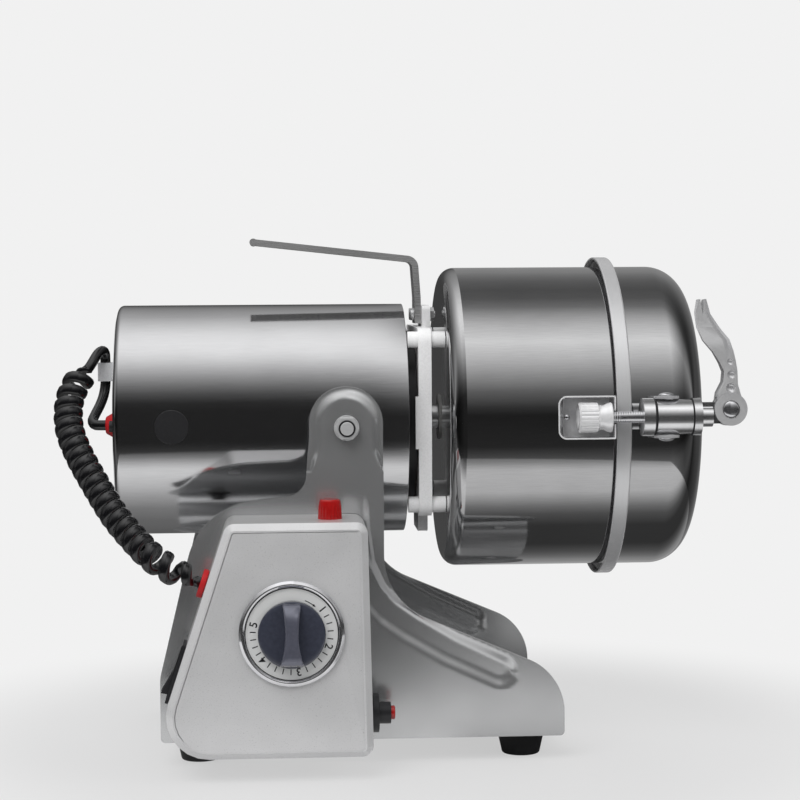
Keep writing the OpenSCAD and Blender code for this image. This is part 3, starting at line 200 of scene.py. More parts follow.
@dataclass(frozen=True)
class Finish:
    """A surface finish: its colour, its gloss and the fine pattern that breaks it up."""

    name: str
    colour: Colour
    metallic: float = 0.0
    roughness: float = 0.5
    grain: Grain = Grain.EVEN
    grain_mm: float = 0.6
    tint: float = 0.08
    rough_spread: float = 0.06
    bump_mm: float = 0.01
    blotch: float = 0.06
    coat: float = 0.0
    coat_roughness: float = 0.1
    transmission: float = 0.0
    ior: float = 1.45
    wear: float = 0.0
    centre: Point = (0.0, 0.0, 0.0)

    def material(self) -> bpy.types.Material:
        """Makes the material, or returns the one already made.

        Returns:
            The node material of this finish.
        """
        made = bpy.data.materials.get(f"{self.name}_finish")
        if made:
            return made
        mat = bpy.data.materials.new(f"{self.name}_finish")
        mat.use_nodes = True
        mat.diffuse_color = (*self.colour, 1.0)
        nodes = Nodes(mat.node_tree)
        fine = self._fine_pattern(nodes)
        broad = nodes.noise(EVENLY, 1.0 / (BLOTCH_MM * MM), BLOTCH_DETAIL)
        tint = nodes.spread(fine, NOISE_REACH, (1.0 - self.tint, 1.0 + self.tint))
        blotch = nodes.spread(broad, NOISE_REACH, (1.0 - self.blotch, 1.0 + self.blotch))
        colour = nodes.blend(1.0, (*self.colour, 1.0), nodes.maths("MULTIPLY", tint, blotch), "MULTIPLY")
        if self.wear:
            colour = self._worn(nodes, colour)
        smoothest = max(self.roughness - self.rough_spread, 0.0)
        rough = nodes.spread(fine, NOISE_REACH, (smoothest, self.roughness + self.rough_spread))
        bump = nodes.add("Bump", {"Strength": 1.0, "Distance": self.bump_mm * MM, "Height": fine})
        nodes.fill(mat.node_tree.nodes["Principled BSDF"], {
            "Base Color": colour, "Roughness": rough, "Normal": bump.outputs["Normal"],
            "Metallic": self.metallic, "IOR": self.ior, "Coat Weight": self.coat,
            "Coat Roughness": self.coat_roughness, "Transmission Weight": self.transmission})
        return mat

    def _fine_pattern(self, nodes: Nodes) -> Socket:
        """Builds the fine pattern of the surface.

        Args:
            nodes: The material's nodes.

        Returns:
            The socket that carries the pattern, from 0 to 1.
        """
        scale = 1.0 / (self.grain_mm * MM)
        if self.grain is Grain.ALONG:
            return nodes.noise((DRAWN_OUT, 1.0, 1.0), scale, FINE_DETAIL)
        if self.grain is Grain.SHEETS:
            return nodes.noise((1.0, DRAWN_OUT, DRAWN_OUT), scale, SHEET_DETAIL)
        if self.grain is Grain.ROUND:
            return self._rings(nodes, scale)
        return nodes.noise(EVENLY, scale, FINE_DETAIL)

    def _rings(self, nodes: Nodes, scale: float) -> Socket:
        """Builds fine rings round the axis along Y through the finish's centre.

        Args:
            nodes: The material's nodes.
            scale: The number of grains in a metre.

        Returns:
            The socket that carries the rings, from 0 to 1.
        """
        place = nodes.add("TexCoord").outputs["Object"]
        to_centre = tuple(-c for c in self.centre)
        moved = nodes.add("Mapping", {"Location": to_centre, "Vector": place}).outputs["Vector"]
        flat = nodes.add("VectorMath", {0: moved, 1: ACROSS_Y}, operation="MULTIPLY").outputs["Vector"]
        radius = nodes.add("VectorMath", {0: flat}, operation="LENGTH").outputs["Value"]
        inputs = {"Scale": scale, "Detail": RING_DETAIL, "W": radius}
        return nodes.add("TexNoise", inputs, noise_dimensions="1D").outputs["Fac"]

    def _worn(self, nodes: Nodes, colour: Socket) -> Socket:
        """Lightens the colour along outer edges, where hands and cloths rub it.

        Args:
            nodes: The material's nodes.
            colour: The colour so far.

        Returns:
            The worn colour's socket.
        """
        pointed = nodes.add("NewGeometry").outputs["Pointiness"]
        edge = nodes.spread(pointed, EDGE_REACH, (0.0, self.wear))
        rubbed = (*(min(1.0, c * RUBBED_BRIGHTER) for c in self.colour), 1.0)
        return nodes.blend(edge, colour, rubbed)


DIAL_MM = (-36.0, -150.0, 92.6)
DIAL_CENTRE = tuple(STAND_FRAME @ Vector(DIAL_MM))

STAND_PAINT = Finish("stand_paint", (0.60, 0.605, 0.61), 0.78, 0.2, grain_mm=0.9, tint=0.012,
                     rough_spread=0.012, bump_mm=0.0002, blotch=0.05, coat=0.3,
                     coat_roughness=0.12, wear=0.15)
BOX_PAINT = Finish("box_paint", (0.63, 0.63, 0.635), 0.3, 0.3, grain_mm=0.5, tint=0.02,
                   rough_spread=0.03, bump_mm=0.0008, coat=0.3, coat_roughness=0.15, wear=0.3)
MOTOR_STEEL = Finish("motor_steel", (0.66, 0.66, 0.67), 1.0, 0.09, Grain.ALONG, 0.25, 0.04, 0.025,
                     0.0015, 0.03)
CHAMBER_STEEL = Finish("chamber_steel", (0.55, 0.55, 0.555), 1.0, 0.06, Grain.ALONG, 0.25, 0.05,
                       0.02, 0.0012, 0.04)
BAND_STEEL = Finish("band_steel", (0.70, 0.70, 0.71), 0.5, 0.24, Grain.SHEETS, 0.2, 0.03, 0.03,
                    0.001, 0.03)
CAST_ALLOY = Finish("cast_alloy", (0.92, 0.92, 0.925), 0.05, 0.5, grain_mm=0.8, tint=0.05,
                    bump_mm=0.05, blotch=0.05)
CHROME = Finish("chrome", (0.82, 0.82, 0.84), 0.95, 0.12, grain_mm=1.6, tint=0.03,
                rough_spread=0.04, bump_mm=0.003)
SATIN_CHROME = Finish("satin_chrome", (0.80, 0.80, 0.815), 0.62, 0.2, grain_mm=1.6, tint=0.04,
                      rough_spread=0.05, bump_mm=0.004, coat=0.4, coat_roughness=0.1)
CAST_CHROME = Finish("cast_chrome", (0.76, 0.76, 0.775), 0.58, 0.16, grain_mm=1.4, tint=0.02,
                     rough_spread=0.04, bump_mm=0.002, coat=0.3, coat_roughness=0.1, wear=0.4)
BARREL_CHROME = Finish("barrel_chrome", (0.86, 0.86, 0.87), 0.95, 0.13, grain_mm=1.6, tint=0.03,
                       rough_spread=0.04, bump_mm=0.003, coat=0.3, coat_roughness=0.1)
HOOD_STEEL = Finish("hood_steel", (0.82, 0.82, 0.83), 0.3, 0.22, grain_mm=1.6, tint=0.05,
                    rough_spread=0.05, bump_mm=0.004, coat=0.4, coat_roughness=0.1, wear=0.5)
NUT_CHROME = Finish("nut_chrome", (0.88, 0.88, 0.89), 0.35, 0.22, grain_mm=1.6, tint=0.03,
                    rough_spread=0.05, bump_mm=0.004, coat=0.4, coat_roughness=0.1)
ZINC = Finish("zinc_plate", (0.80, 0.805, 0.81), 0.55, 0.22, grain_mm=1.6, tint=0.02,
              rough_spread=0.02, bump_mm=0.0003)
HANDLE_STEEL = Finish("handle_steel", (0.60, 0.60, 0.60), 0.7, 0.28, Grain.ALONG, 0.4, 0.04, 0.03,
                      0.001)
DIAL_SILVER = Finish("dial_silver", (0.72, 0.725, 0.72), 0.12, 0.34, Grain.ROUND, 0.12, 0.04, 0.05,
                     0.003, 0.02, centre=DIAL_CENTRE)
# the ink of the dial's print, also used for the painted shadow of the bezel round the dial
DIAL_INK_AND_SHADOW = Finish("dial_ink_and_shadow", (0.015, 0.015, 0.018), 0.0, 0.5, grain_mm=0.2, tint=0.2, bump_mm=0.0)
SMOKED_BLUE = Finish("smoked_blue", (0.055, 0.06, 0.085), 0.0, 0.14, grain_mm=2.5, tint=0.1,
                     rough_spread=0.03, bump_mm=0.004, coat=0.6, coat_roughness=0.08,
                     transmission=0.25, ior=1.49)
RIDGE_BLUE = Finish("ridge_blue", (0.15, 0.155, 0.20), 0.35, 0.12, grain_mm=2.5, tint=0.08,
                    rough_spread=0.03, bump_mm=0.001, coat=0.8, coat_roughness=0.05,
                    transmission=0.2, ior=1.49)
SIGNAL_RED = Finish("signal_red", (0.42, 0.008, 0.008), 0.0, 0.16, grain_mm=1.2, tint=0.1,
                    bump_mm=0.01, coat=0.5, coat_roughness=0.1, transmission=0.12)
GROMMET_RED = Finish("grommet_red", (0.50, 0.012, 0.016), 0.0, 0.38, grain_mm=0.8, tint=0.12,
                     bump_mm=0.02)
BLACK_PLASTIC = Finish("black_plastic", (0.018, 0.018, 0.02), 0.0, 0.42, grain_mm=0.5, tint=0.2,
                       rough_spread=0.08, bump_mm=0.02)
FOOT_RUBBER = Finish("foot_rubber", (0.014, 0.014, 0.015), 0.0, 0.55, grain_mm=0.9, tint=0.25,
                     bump_mm=0.04, blotch=0.2)
CORD_RUBBER = Finish("cord_rubber", (0.006, 0.006, 0.007), 0.0, 0.17, grain_mm=0.5, tint=0.25,
                     rough_spread=0.05, bump_mm=0.004, coat=0.7, coat_roughness=0.05, ior=1.45)
CLIP_GREY = Finish("clip_grey", (0.80, 0.81, 0.83), 0.0, 0.35, grain_mm=0.8, bump_mm=0.01)
# black caps and screws; also the painted shade rings between the swing nuts and their studs
CAP_BLACK_AND_SHADE = Finish("cap_black_and_shade", (0.03, 0.03, 0.032), 0.3, 0.35, grain_mm=0.8, bump_mm=0.02)
NYLON = Finish("white_nylon", (0.72, 0.71, 0.67), 0.0, 0.5, grain_mm=0.9, bump_mm=0.02)
SEAL_RUBBER = Finish("seal_rubber", (0.60, 0.60, 0.58), 0.0, 0.5, grain_mm=0.7, bump_mm=0.03)
CORE_STEEL = Finish("core_steel", (0.16, 0.16, 0.18), 0.8, 0.5, Grain.SHEETS, 0.5, 0.25, 0.1, 0.05)
COPPER = Finish("enamelled_copper", (0.48, 0.17, 0.06), 0.8, 0.35, Grain.SHEETS, 0.8, 0.25, 0.1,
                0.2)
CARBON = Finish("brush_carbon", (0.03, 0.03, 0.032), 0.0, 0.6, grain_mm=0.4, tint=0.3)
BLADE_STEEL = Finish("blade_steel", (0.60, 0.61, 0.62), 1.0, 0.22, Grain.ALONG, 0.3, 0.1, 0.06,
                     0.006)

NODES_BY_FINISH: tuple[tuple[Finish, str], ...] = (
    (STAND_PAINT, "side_plate_near side_plate_far base_pan"),
    (FOOT_RUBBER, "feet mains_gland"),
    (ZINC, "stand_screws timer_spindle motor_bearings trunnion_studs trunnion_nuts bowl_bolts "
           "handle_bolts rotor_shaft blade_nut"),
    (NYLON, "trunnion_bushes timer_works"),
    (BOX_PAINT, "box_surround box_front_panel"),
    (CHROME, "timer_bezel"),
    (DIAL_SILVER, "timer_dial"),
    (SIGNAL_RED, "indicator_cap reset_button"),
    (BLACK_PLASTIC, "rocker_housing breaker_body power_rocker front_bracket cooling_fan"),
    (GROMMET_RED, "box_grommet motor_grommet"),
    (SMOKED_BLUE, "timer_knob"),
    (MOTOR_STEEL, "motor_shell motor_rear_cover"),
    (CAP_BLACK_AND_SHADE, "rear_cover_screws brush_caps"),
    (CAST_ALLOY, "rear_bracket flange_casting"),
    (CORE_STEEL, "stator_core armature"),
    (COPPER, "field_windings brush_holders commutator"),
    (CARBON, "carbon_brushes"),
    (SEAL_RUBBER, "shaft_seal lid_gasket"),
    (CHAMBER_STEEL, "grinding_bowl lid_shell"),
    (BAND_STEEL, "lid_band"),
    (HANDLE_STEEL, "carry_handle"),
    (HOOD_STEEL, "lock_hoods"),
    (SATIN_CHROME, "lock_brackets"),
    (CLIP_GREY, "cord_clip"),
    (BLADE_STEEL, "blade_stack"),
    (BARREL_CHROME, "near_lock_arm far_lock_arm"),
    (NUT_CHROME, "near_lock_nut far_lock_nut"),
    (CAST_CHROME, "near_lock_lever far_lock_lever"),
    (CORD_RUBBER, "curly_cord cord_lead"),
)
NODE_FINISHES = {node: finish for finish, nodes in NODES_BY_FINISH for node in nodes.split()}


# ---------------------------------------------------------------- workshop: shared modelling steps


MERGE_MM = 0.002  # corners closer than this are one corner
SPIN_MERGE_MM = 0.0005
FLAT_ANGLE = 0.6  # faces that turn less than this, in degrees, lie in one plane
SOFT_ANGLE = 34.0  # the least angle, in degrees, of a hard edge on a rounded piece
SOFT_WEIGHT = 60  # how much larger faces lead the shading of a rounded piece
TURNED_ANGLE = 24.0  # the same two values for a turned piece
TURNED_WEIGHT = 80
TUBE_ANGLE = 50.0  # the least angle of a hard edge on a tube
SHELL_ANGLE = 40.0  # the same for small round pieces
SEGMENTS_OF_CURVE = 24  # the points drawn from one point of a route to the next


def deselect() -> None:
    """Leaves edit mode and clears the selection."""
    active = bpy.context.view_layer.objects.active
    if active is not None and active.mode != "OBJECT":
        bpy.ops.object.mode_set(mode="OBJECT")
    bpy.ops.object.select_all(action="DESELECT")


def activate(obj: bpy.types.Object) -> None:
    """Makes one object the only selected and the active one.

    Args:
        obj: The object to work on.
    """
    deselect()
    obj.select_set(True)
    bpy.context.view_layer.objects.active = obj


@contextmanager
def editing(obj: bpy.types.Object) -> Iterator[None]:
    """Opens a piece for editing, with all of it selected, and closes it again.

    Args:
        obj: The piece to edit.

    Yields:
        Nothing. The piece is open meanwhile.
    """
    activate(obj)
    bpy.ops.object.mode_set(mode="EDIT")
    bpy.ops.mesh.select_all(action="SELECT")
    yield
    bpy.ops.object.mode_set(mode="OBJECT")


def outwards(obj: bpy.types.Object) -> None:
    """Turns every face of a piece outwards."""
    with editing(obj):
        bpy.ops.mesh.normals_make_consistent(inside=False)


def close_up(obj: bpy.types.Object, angle: float = SHELL_ANGLE) -> None:
    """Turns a closed piece's faces outwards and shades it smooth.

    Args:
        obj: The piece.
        angle: The least angle of a hard edge, in degrees.
    """
    outwards(obj)
    smooth(obj, angle)


def apply_place(obj: bpy.types.Object) -> None:
    """Puts the object's place, turn and size into its mesh.

    Args:
        obj: The object to settle.
    """
    activate(obj)
    bpy.ops.object.transform_apply(location=True, rotation=True, scale=True)


def settle(obj: bpy.types.Object, place: Matrix) -> None:
    """Places a piece that was modelled in millimetres and applies its place.

    Args:
        obj: The piece, modelled in its own frame.
        place: The matrix from that frame to the row frame, in metres.
    """
    obj.matrix_world = place @ obj.matrix_world
    apply_place(obj)


def add_modifier(obj: bpy.types.Object, kind: str, **settings: object) -> None:
    """Adds a modifier, sets it and applies it.

    Args:
        obj: The object to change.
        kind: The modifier's type.
        settings: The modifier's settings by name.
    """
    activate(obj)
    bpy.ops.object.modifier_add(type=kind)
    modifier = obj.modifiers[-1]
    for key, value in settings.items():
        setattr(modifier, key, value)
    bpy.ops.object.modifier_apply(modifier=modifier.name)


def soften(obj: bpy.types.Object, width_mm: float, segments: int = 3, angle: float = 20.0) -> None:
    """Rounds the hard edges and evens out the shading.

    Args:
        obj: The piece, already in metres.
        width_mm: The width of each rounded edge.
        segments: The faces across each rounded edge.
        angle: The least angle, in degrees, that counts as an edge.
    """
    add_modifier(obj, "BEVEL", width=width_mm * MM, segments=segments, limit_method="ANGLE",
                 angle_limit=math.radians(angle), use_clamp_overlap=True, miter_outer="MITER_ARC")
    smooth(obj, SOFT_ANGLE)
    add_modifier(obj, "WEIGHTED_NORMAL", keep_sharp=True, weight=SOFT_WEIGHT)


def smooth(obj: bpy.types.Object, angle: float) -> None:
    """Shades the piece smooth, with hard edges past an angle.

    Args:
        obj: The piece.
        angle: The angle in degrees.
    """
    activate(obj)
    bpy.ops.object.shade_smooth_by_angle(angle=math.radians(angle))


def refined_copy(node: str, name: str, width_mm: float, segments: int = 3,
                 angle: float = 20.0) -> bpy.types.Object:
    """Makes a merged copy of a CAD node with its edges rounded, to stand for that node.

    Args:
        node: The CAD node's name.
        name: The new piece's name.
        width_mm: The width of each rounded edge.
        segments: The faces across each rounded edge.
        angle: The least angle, in degrees, that counts as an edge.

    Returns:
        The new piece, which replaces the node and rides on its body.
    """
    source = frame["nodes"][node]
    obj = bpy.data.objects.new(name, source.data.copy())
    bpy.context.collection.objects.link(obj)
    activate(obj)
    bpy.ops.mesh.customdata_custom_splitnormals_clear()
    with editing(obj):
        bpy.ops.mesh.remove_doubles(threshold=MERGE_MM * MM)
        bpy.ops.mesh.dissolve_limited(angle_limit=math.radians(FLAT_ANGLE))
    soften(obj, width_mm, segments, angle)
    dress(obj, NODE_FINISHES[node], body_of(node), replaces=[node])
    return obj


def body_of(node: str) -> str:
    """Gives the name of the body that holds a CAD node."""
    bodies = frame["record"]["behaviour"]["bodies"]
    return next(name for name, nodes in bodies.items() if node in nodes)


def dress(obj: bpy.types.Object, finish: Finish, body: Optional[str],
          replaces: Sequence[str] = ()) -> None:
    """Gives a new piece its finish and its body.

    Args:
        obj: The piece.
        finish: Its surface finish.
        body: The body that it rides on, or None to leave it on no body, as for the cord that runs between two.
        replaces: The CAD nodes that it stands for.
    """
    obj.data.materials.clear()
    obj.data.materials.append(finish.material())
    if body:
        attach(obj, body)
    if replaces:
        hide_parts(*replaces)
    log.info("%-24s %-14s %6d faces", obj.name, body or "between", len(obj.data.polygons))


def mesh_piece(name: str, points: Sequence[Vector],
               faces: Sequence[Sequence[int]]) -> bpy.types.Object:
    """Makes an object from points and faces.

    Args:
        name: The piece's name.
        points: Its corners.
        faces: The corners of each face.

    Returns:
        The new object.
    """
    mesh = bpy.data.meshes.new(name)
    mesh.from_pydata([tuple(p) for p in points], [], faces)
    mesh.validate()
    obj = bpy.data.objects.new(name, mesh)
    bpy.context.collection.objects.link(obj)
    return obj


def plate(name: str, outline: Sequence[Pair], thick: float,
          place: Matrix) -> bpy.types.Object:
    """Models a flat outline and extrudes it.

    Args:
        name: The piece's name.
        outline: The outline's corners, anticlockwise.
        thick: How far it is extruded along +Z.
        place: The matrix from the outline's frame to metres.

    Returns:
        The plate, with its normals outwards.
    """
    obj = mesh_piece(name, [Vector((x, y, 0.0)) for x, y in outline], [list(range(len(outline)))])
    raise_flat(obj, thick)
    settle(obj, place)
    return obj


def raise_flat(obj: bpy.types.Object, thick: float) -> None:
    """Extrudes a flat piece along +Z and turns its faces outwards.

    Args:
        obj: The flat piece.
        thick: How far it is extruded.
    """
    with editing(obj):
        bpy.ops.mesh.extrude_region_move(TRANSFORM_OT_translate={"value": (0.0, 0.0, thick)})
    outwards(obj)


def rounded(corners: Sequence[Point], steps: int = 10) -> list[Pair]:
    """Rounds the corners of a closed outline.

    Args:
        corners: Each corner's two coordinates and its radius.
        steps: The points round each corner.

    Returns:
        The outline's points.
    """
    outline: list[Pair] = []
    for i, (x, y, radius) in enumerate(corners):
        here = Vector((x, y))
        if radius <= 0:
            outline.append((x, y))
            continue
        u = (Vector(corners[i - 1][:2]) - here).normalized()
        w = (Vector(corners[(i + 1) % len(corners)][:2]) - here).normalized()
        half = math.acos(max(-1.0, min(1.0, u.dot(w)))) / 2
        middle = here + (u + w).normalized() * radius / math.sin(half)
        first = here + u * radius / math.tan(half) - middle
        last = here + w * radius / math.tan(half) - middle
        start = math.atan2(first.y, first.x)
        sweep = (math.atan2(last.y, last.x) - start + 3 * math.pi) % (2 * math.pi) - math.pi
        for k in range(steps + 1):
            angle = start + sweep * k / steps
            outline.append((middle.x + radius * math.cos(angle),
                            middle.y + radius * math.sin(angle)))
    return outline


def turned(name: str, profile: Sequence[Pair], place: Matrix,
           steps: int = 128) -> bpy.types.Object:
    """Spins a closed profile round the X axis.

    Args:
        name: The piece's name.
        profile: The profile's points as radius and place along X.
        place: The matrix from the profile's frame to metres.
        steps: The faces round the axis.

    Returns:
        The turned piece, smooth but for its sharp edges.
    """
    mesh = bpy.data.meshes.new(name)
    mesh.from_pydata([(x, 0.0, r) for r, x in profile],
                     [(i, (i + 1) % len(profile)) for i in range(len(profile))], [])
    obj = bpy.data.objects.new(name, mesh)
    bpy.context.collection.objects.link(obj)
    with editing(obj):
        bpy.ops.mesh.spin(steps=steps, angle=2 * math.pi, center=(0.0, 0.0, 0.0),
                          axis=(1.0, 0.0, 0.0), dupli=False)
        bpy.ops.mesh.select_all(action="SELECT")
        bpy.ops.mesh.remove_doubles(threshold=SPIN_MERGE_MM)
        bpy.ops.mesh.dissolve_degenerate(threshold=SPIN_MERGE_MM)
        bpy.ops.mesh.normals_make_consistent(inside=False)
    settle(obj, place)
    smooth(obj, TURNED_ANGLE)
    add_modifier(obj, "WEIGHTED_NORMAL", keep_sharp=True, weight=TURNED_WEIGHT)
    return obj


def smooth_line(points: Sequence[Point], step: float) -> list[Vector]:
    """Draws a smooth line through points and spaces new points evenly along it.

    Args:
        points: The points that the line passes.
        step: The distance from one new point to the next.

    Returns:
        The evenly spaced points.
    """
    line = [Vector(p) for p in points]
    padded = [2 * line[0] - line[1], *line, 2 * line[-1] - line[-2]]
    dense: list[Vector] = []
    for i in range(1, len(padded) - 2):
        a, b, c, d = padded[i - 1:i + 3]
        for k in range(SEGMENTS_OF_CURVE):
            t = k / SEGMENTS_OF_CURVE
            dense.append(0.5 * (2 * b + (c - a) * t + (2 * a - 5 * b + 4 * c - d) * t ** 2
                                + (3 * b - a - 3 * c + d) * t ** 3))
    dense.append(line[-1])
    lengths = [0.0]
    for a, b in zip(dense, dense[1:]):
        lengths.append(lengths[-1] + (b - a).length)
    count = max(2, round(lengths[-1] / step))
    even, at = [], 0
    for k in range(count + 1):
        want = lengths[-1] * k / count
        while at < len(lengths) - 2 and lengths[at + 1] < want:
            at += 1
        share = (want - lengths[at]) / max(lengths[at + 1] - lengths[at], 1e-12)
        even.append(dense[at].lerp(dense[at + 1], min(share, 1.0)))
    return even


def line_frames(line: Sequence[Vector], start_up: Vector) -> list[tuple[Vector, Vector, Vector]]:
    """Carries a frame along a line without twisting it.

    Args:
        line: The points of the line.
        start_up: The first direction across the line.

    Returns:
        For each point, the direction along the line and two directions across it.
    """
    frames = []
    up = start_up.copy()
    for i in range(len(line)):
        along = (line[min(i + 1, len(line) - 1)] - line[max(i - 1, 0)]).normalized()
        up = (up - along * up.dot(along)).normalized()
        frames.append((along, up, along.cross(up)))
    return frames


def tube(name: str, rings: Sequence[Sequence[Vector]]) -> bpy.types.Object:
    """Joins rings of points into a closed tube.

    Args:
        name: The piece's name.
        rings: The rings, all with the same number of points.

    Returns:
        The tube, with its ends closed.
    """
    sides = len(rings[0])
    faces = [[i * sides + k, i * sides + (k + 1) % sides, (i + 1) * sides + (k + 1) % sides,
              (i + 1) * sides + k] for i in range(len(rings) - 1) for k in range(sides)]
    faces.append(list(range(sides))[::-1])
    faces.append([(len(rings) - 1) * sides + k for k in range(sides)])
    obj = mesh_piece(name, [p for ring in rings for p in ring], faces)
    outwards(obj)
    smooth(obj, TUBE_ANGLE)
    return obj


def ball(radius: float, segments: int, place: Point = (0.0, 0.0, 0.0),
         squash: Point = (1.0, 1.0, 1.0)) -> bpy.types.Object:
    """Models a ball, which may be squashed into a dome.

    Args:
        radius: The ball's radius.
        segments: The faces round it.
        place: Its middle.
        squash: The share of its size that is left along each axis.

    Returns:
        The ball.
    """
    deselect()
    bpy.ops.mesh.primitive_uv_sphere_add(segments=segments, ring_count=segments // 2,
                                         radius=radius, location=place)
    obj = bpy.context.object
    with editing(obj):
        bpy.ops.transform.resize(value=squash)
    return obj


def wave_ring(x: float, radius: float, rib: float, ribs: int, sides: int) -> list[Vector]:
    """Makes a ring round the X axis with even grooves.

    Args:
        x: The ring's place along X.
        radius: Its radius between the grooves.
        rib: The depth of the grooves.
        ribs: The number of grooves.
        sides: The points in the ring.

    Returns:
        The ring's points.
    """
    ring = []
    for k in range(sides):
        angle = 2 * math.pi * k / sides
        r = radius - rib * (0.5 - 0.5 * math.cos(ribs * angle))
        ring.append(Vector((x, r * math.cos(angle), r * math.sin(angle))))
    return ring


def round_rings(line: Sequence[Vector], radius: float, sides: int,
                start_up: Vector) -> list[list[Vector]]:
    """Sets a round ring on each point of a line.

    Args:
        line: The points of the line.
        radius: The ring's radius.
        sides: The points in a ring.
        start_up: The first direction across the line.

    Returns:
        The rings.
    """
    rings = []
    for centre, (_, up, side) in zip(line, line_frames(line, start_up)):
        rings.append([centre + radius * (math.cos(2 * math.pi * k / sides) * up
                                         + math.sin(2 * math.pi * k / sides) * side)
                      for k in range(sides)])
    return rings


def cut(obj: bpy.types.Object, tool: bpy.types.Object, operation: str = "DIFFERENCE") -> None:
    """Cuts a tool piece out of another, or melts it in, and clears the tool away.

    Args:
        obj: The piece to change.
        tool: The piece that is taken out of it or joined to it.
        operation: What is done with the tool.
    """
    add_modifier(obj, "BOOLEAN", operation=operation, solver="EXACT", object=tool)
    bpy.data.objects.remove(tool, do_unlink=True)


def disc(radius: float, steps: int = 32) -> list[Pair]:
    """Gives the points of a circle round the origin."""
    return [(radius * math.cos(2 * math.pi * k / steps), radius * math.sin(2 * math.pi * k / steps))
            for k in range(steps)]


def clock_point(radius: float, degrees: float) -> Pair:
    """Gives the point of a circle at an angle clockwise from the top."""
    angle = math.radians(degrees)
    return radius * math.sin(angle), radius * math.cos(angle)


def strip(line: Sequence[Pair], width: float) -> list[Pair]:
    """Draws an even strip along an open line.

    Args:
        line: The line's points.
        width: The strip's width.

    Returns:
        The strip's outline.
    """
    near, far = [], []
    for i, (x, y) in enumerate(line):
        run = Vector(line[min(i + 1, len(line) - 1)]) - Vector(line[max(i - 1, 0)])
        side = Vector((-run.y, run.x)).normalized() * width / 2
        near.append((x - side.x, y - side.y))
        far.append((x + side.x, y + side.y))
    return near + far[::-1]


def joined(name: str, parts: Sequence[bpy.types.Object]) -> bpy.types.Object:
    """Joins several objects into one.

    Args:
        name: The joined piece's name.
        parts: The objects to join.

    Returns:
        The joined piece.
    """
    deselect()
    for part in parts:
        part.select_set(True)
    bpy.context.view_layer.objects.active = parts[0]
    bpy.ops.object.join()
    parts[0].name = name
    return parts[0]


# ---------------------------------------------------------------- studio


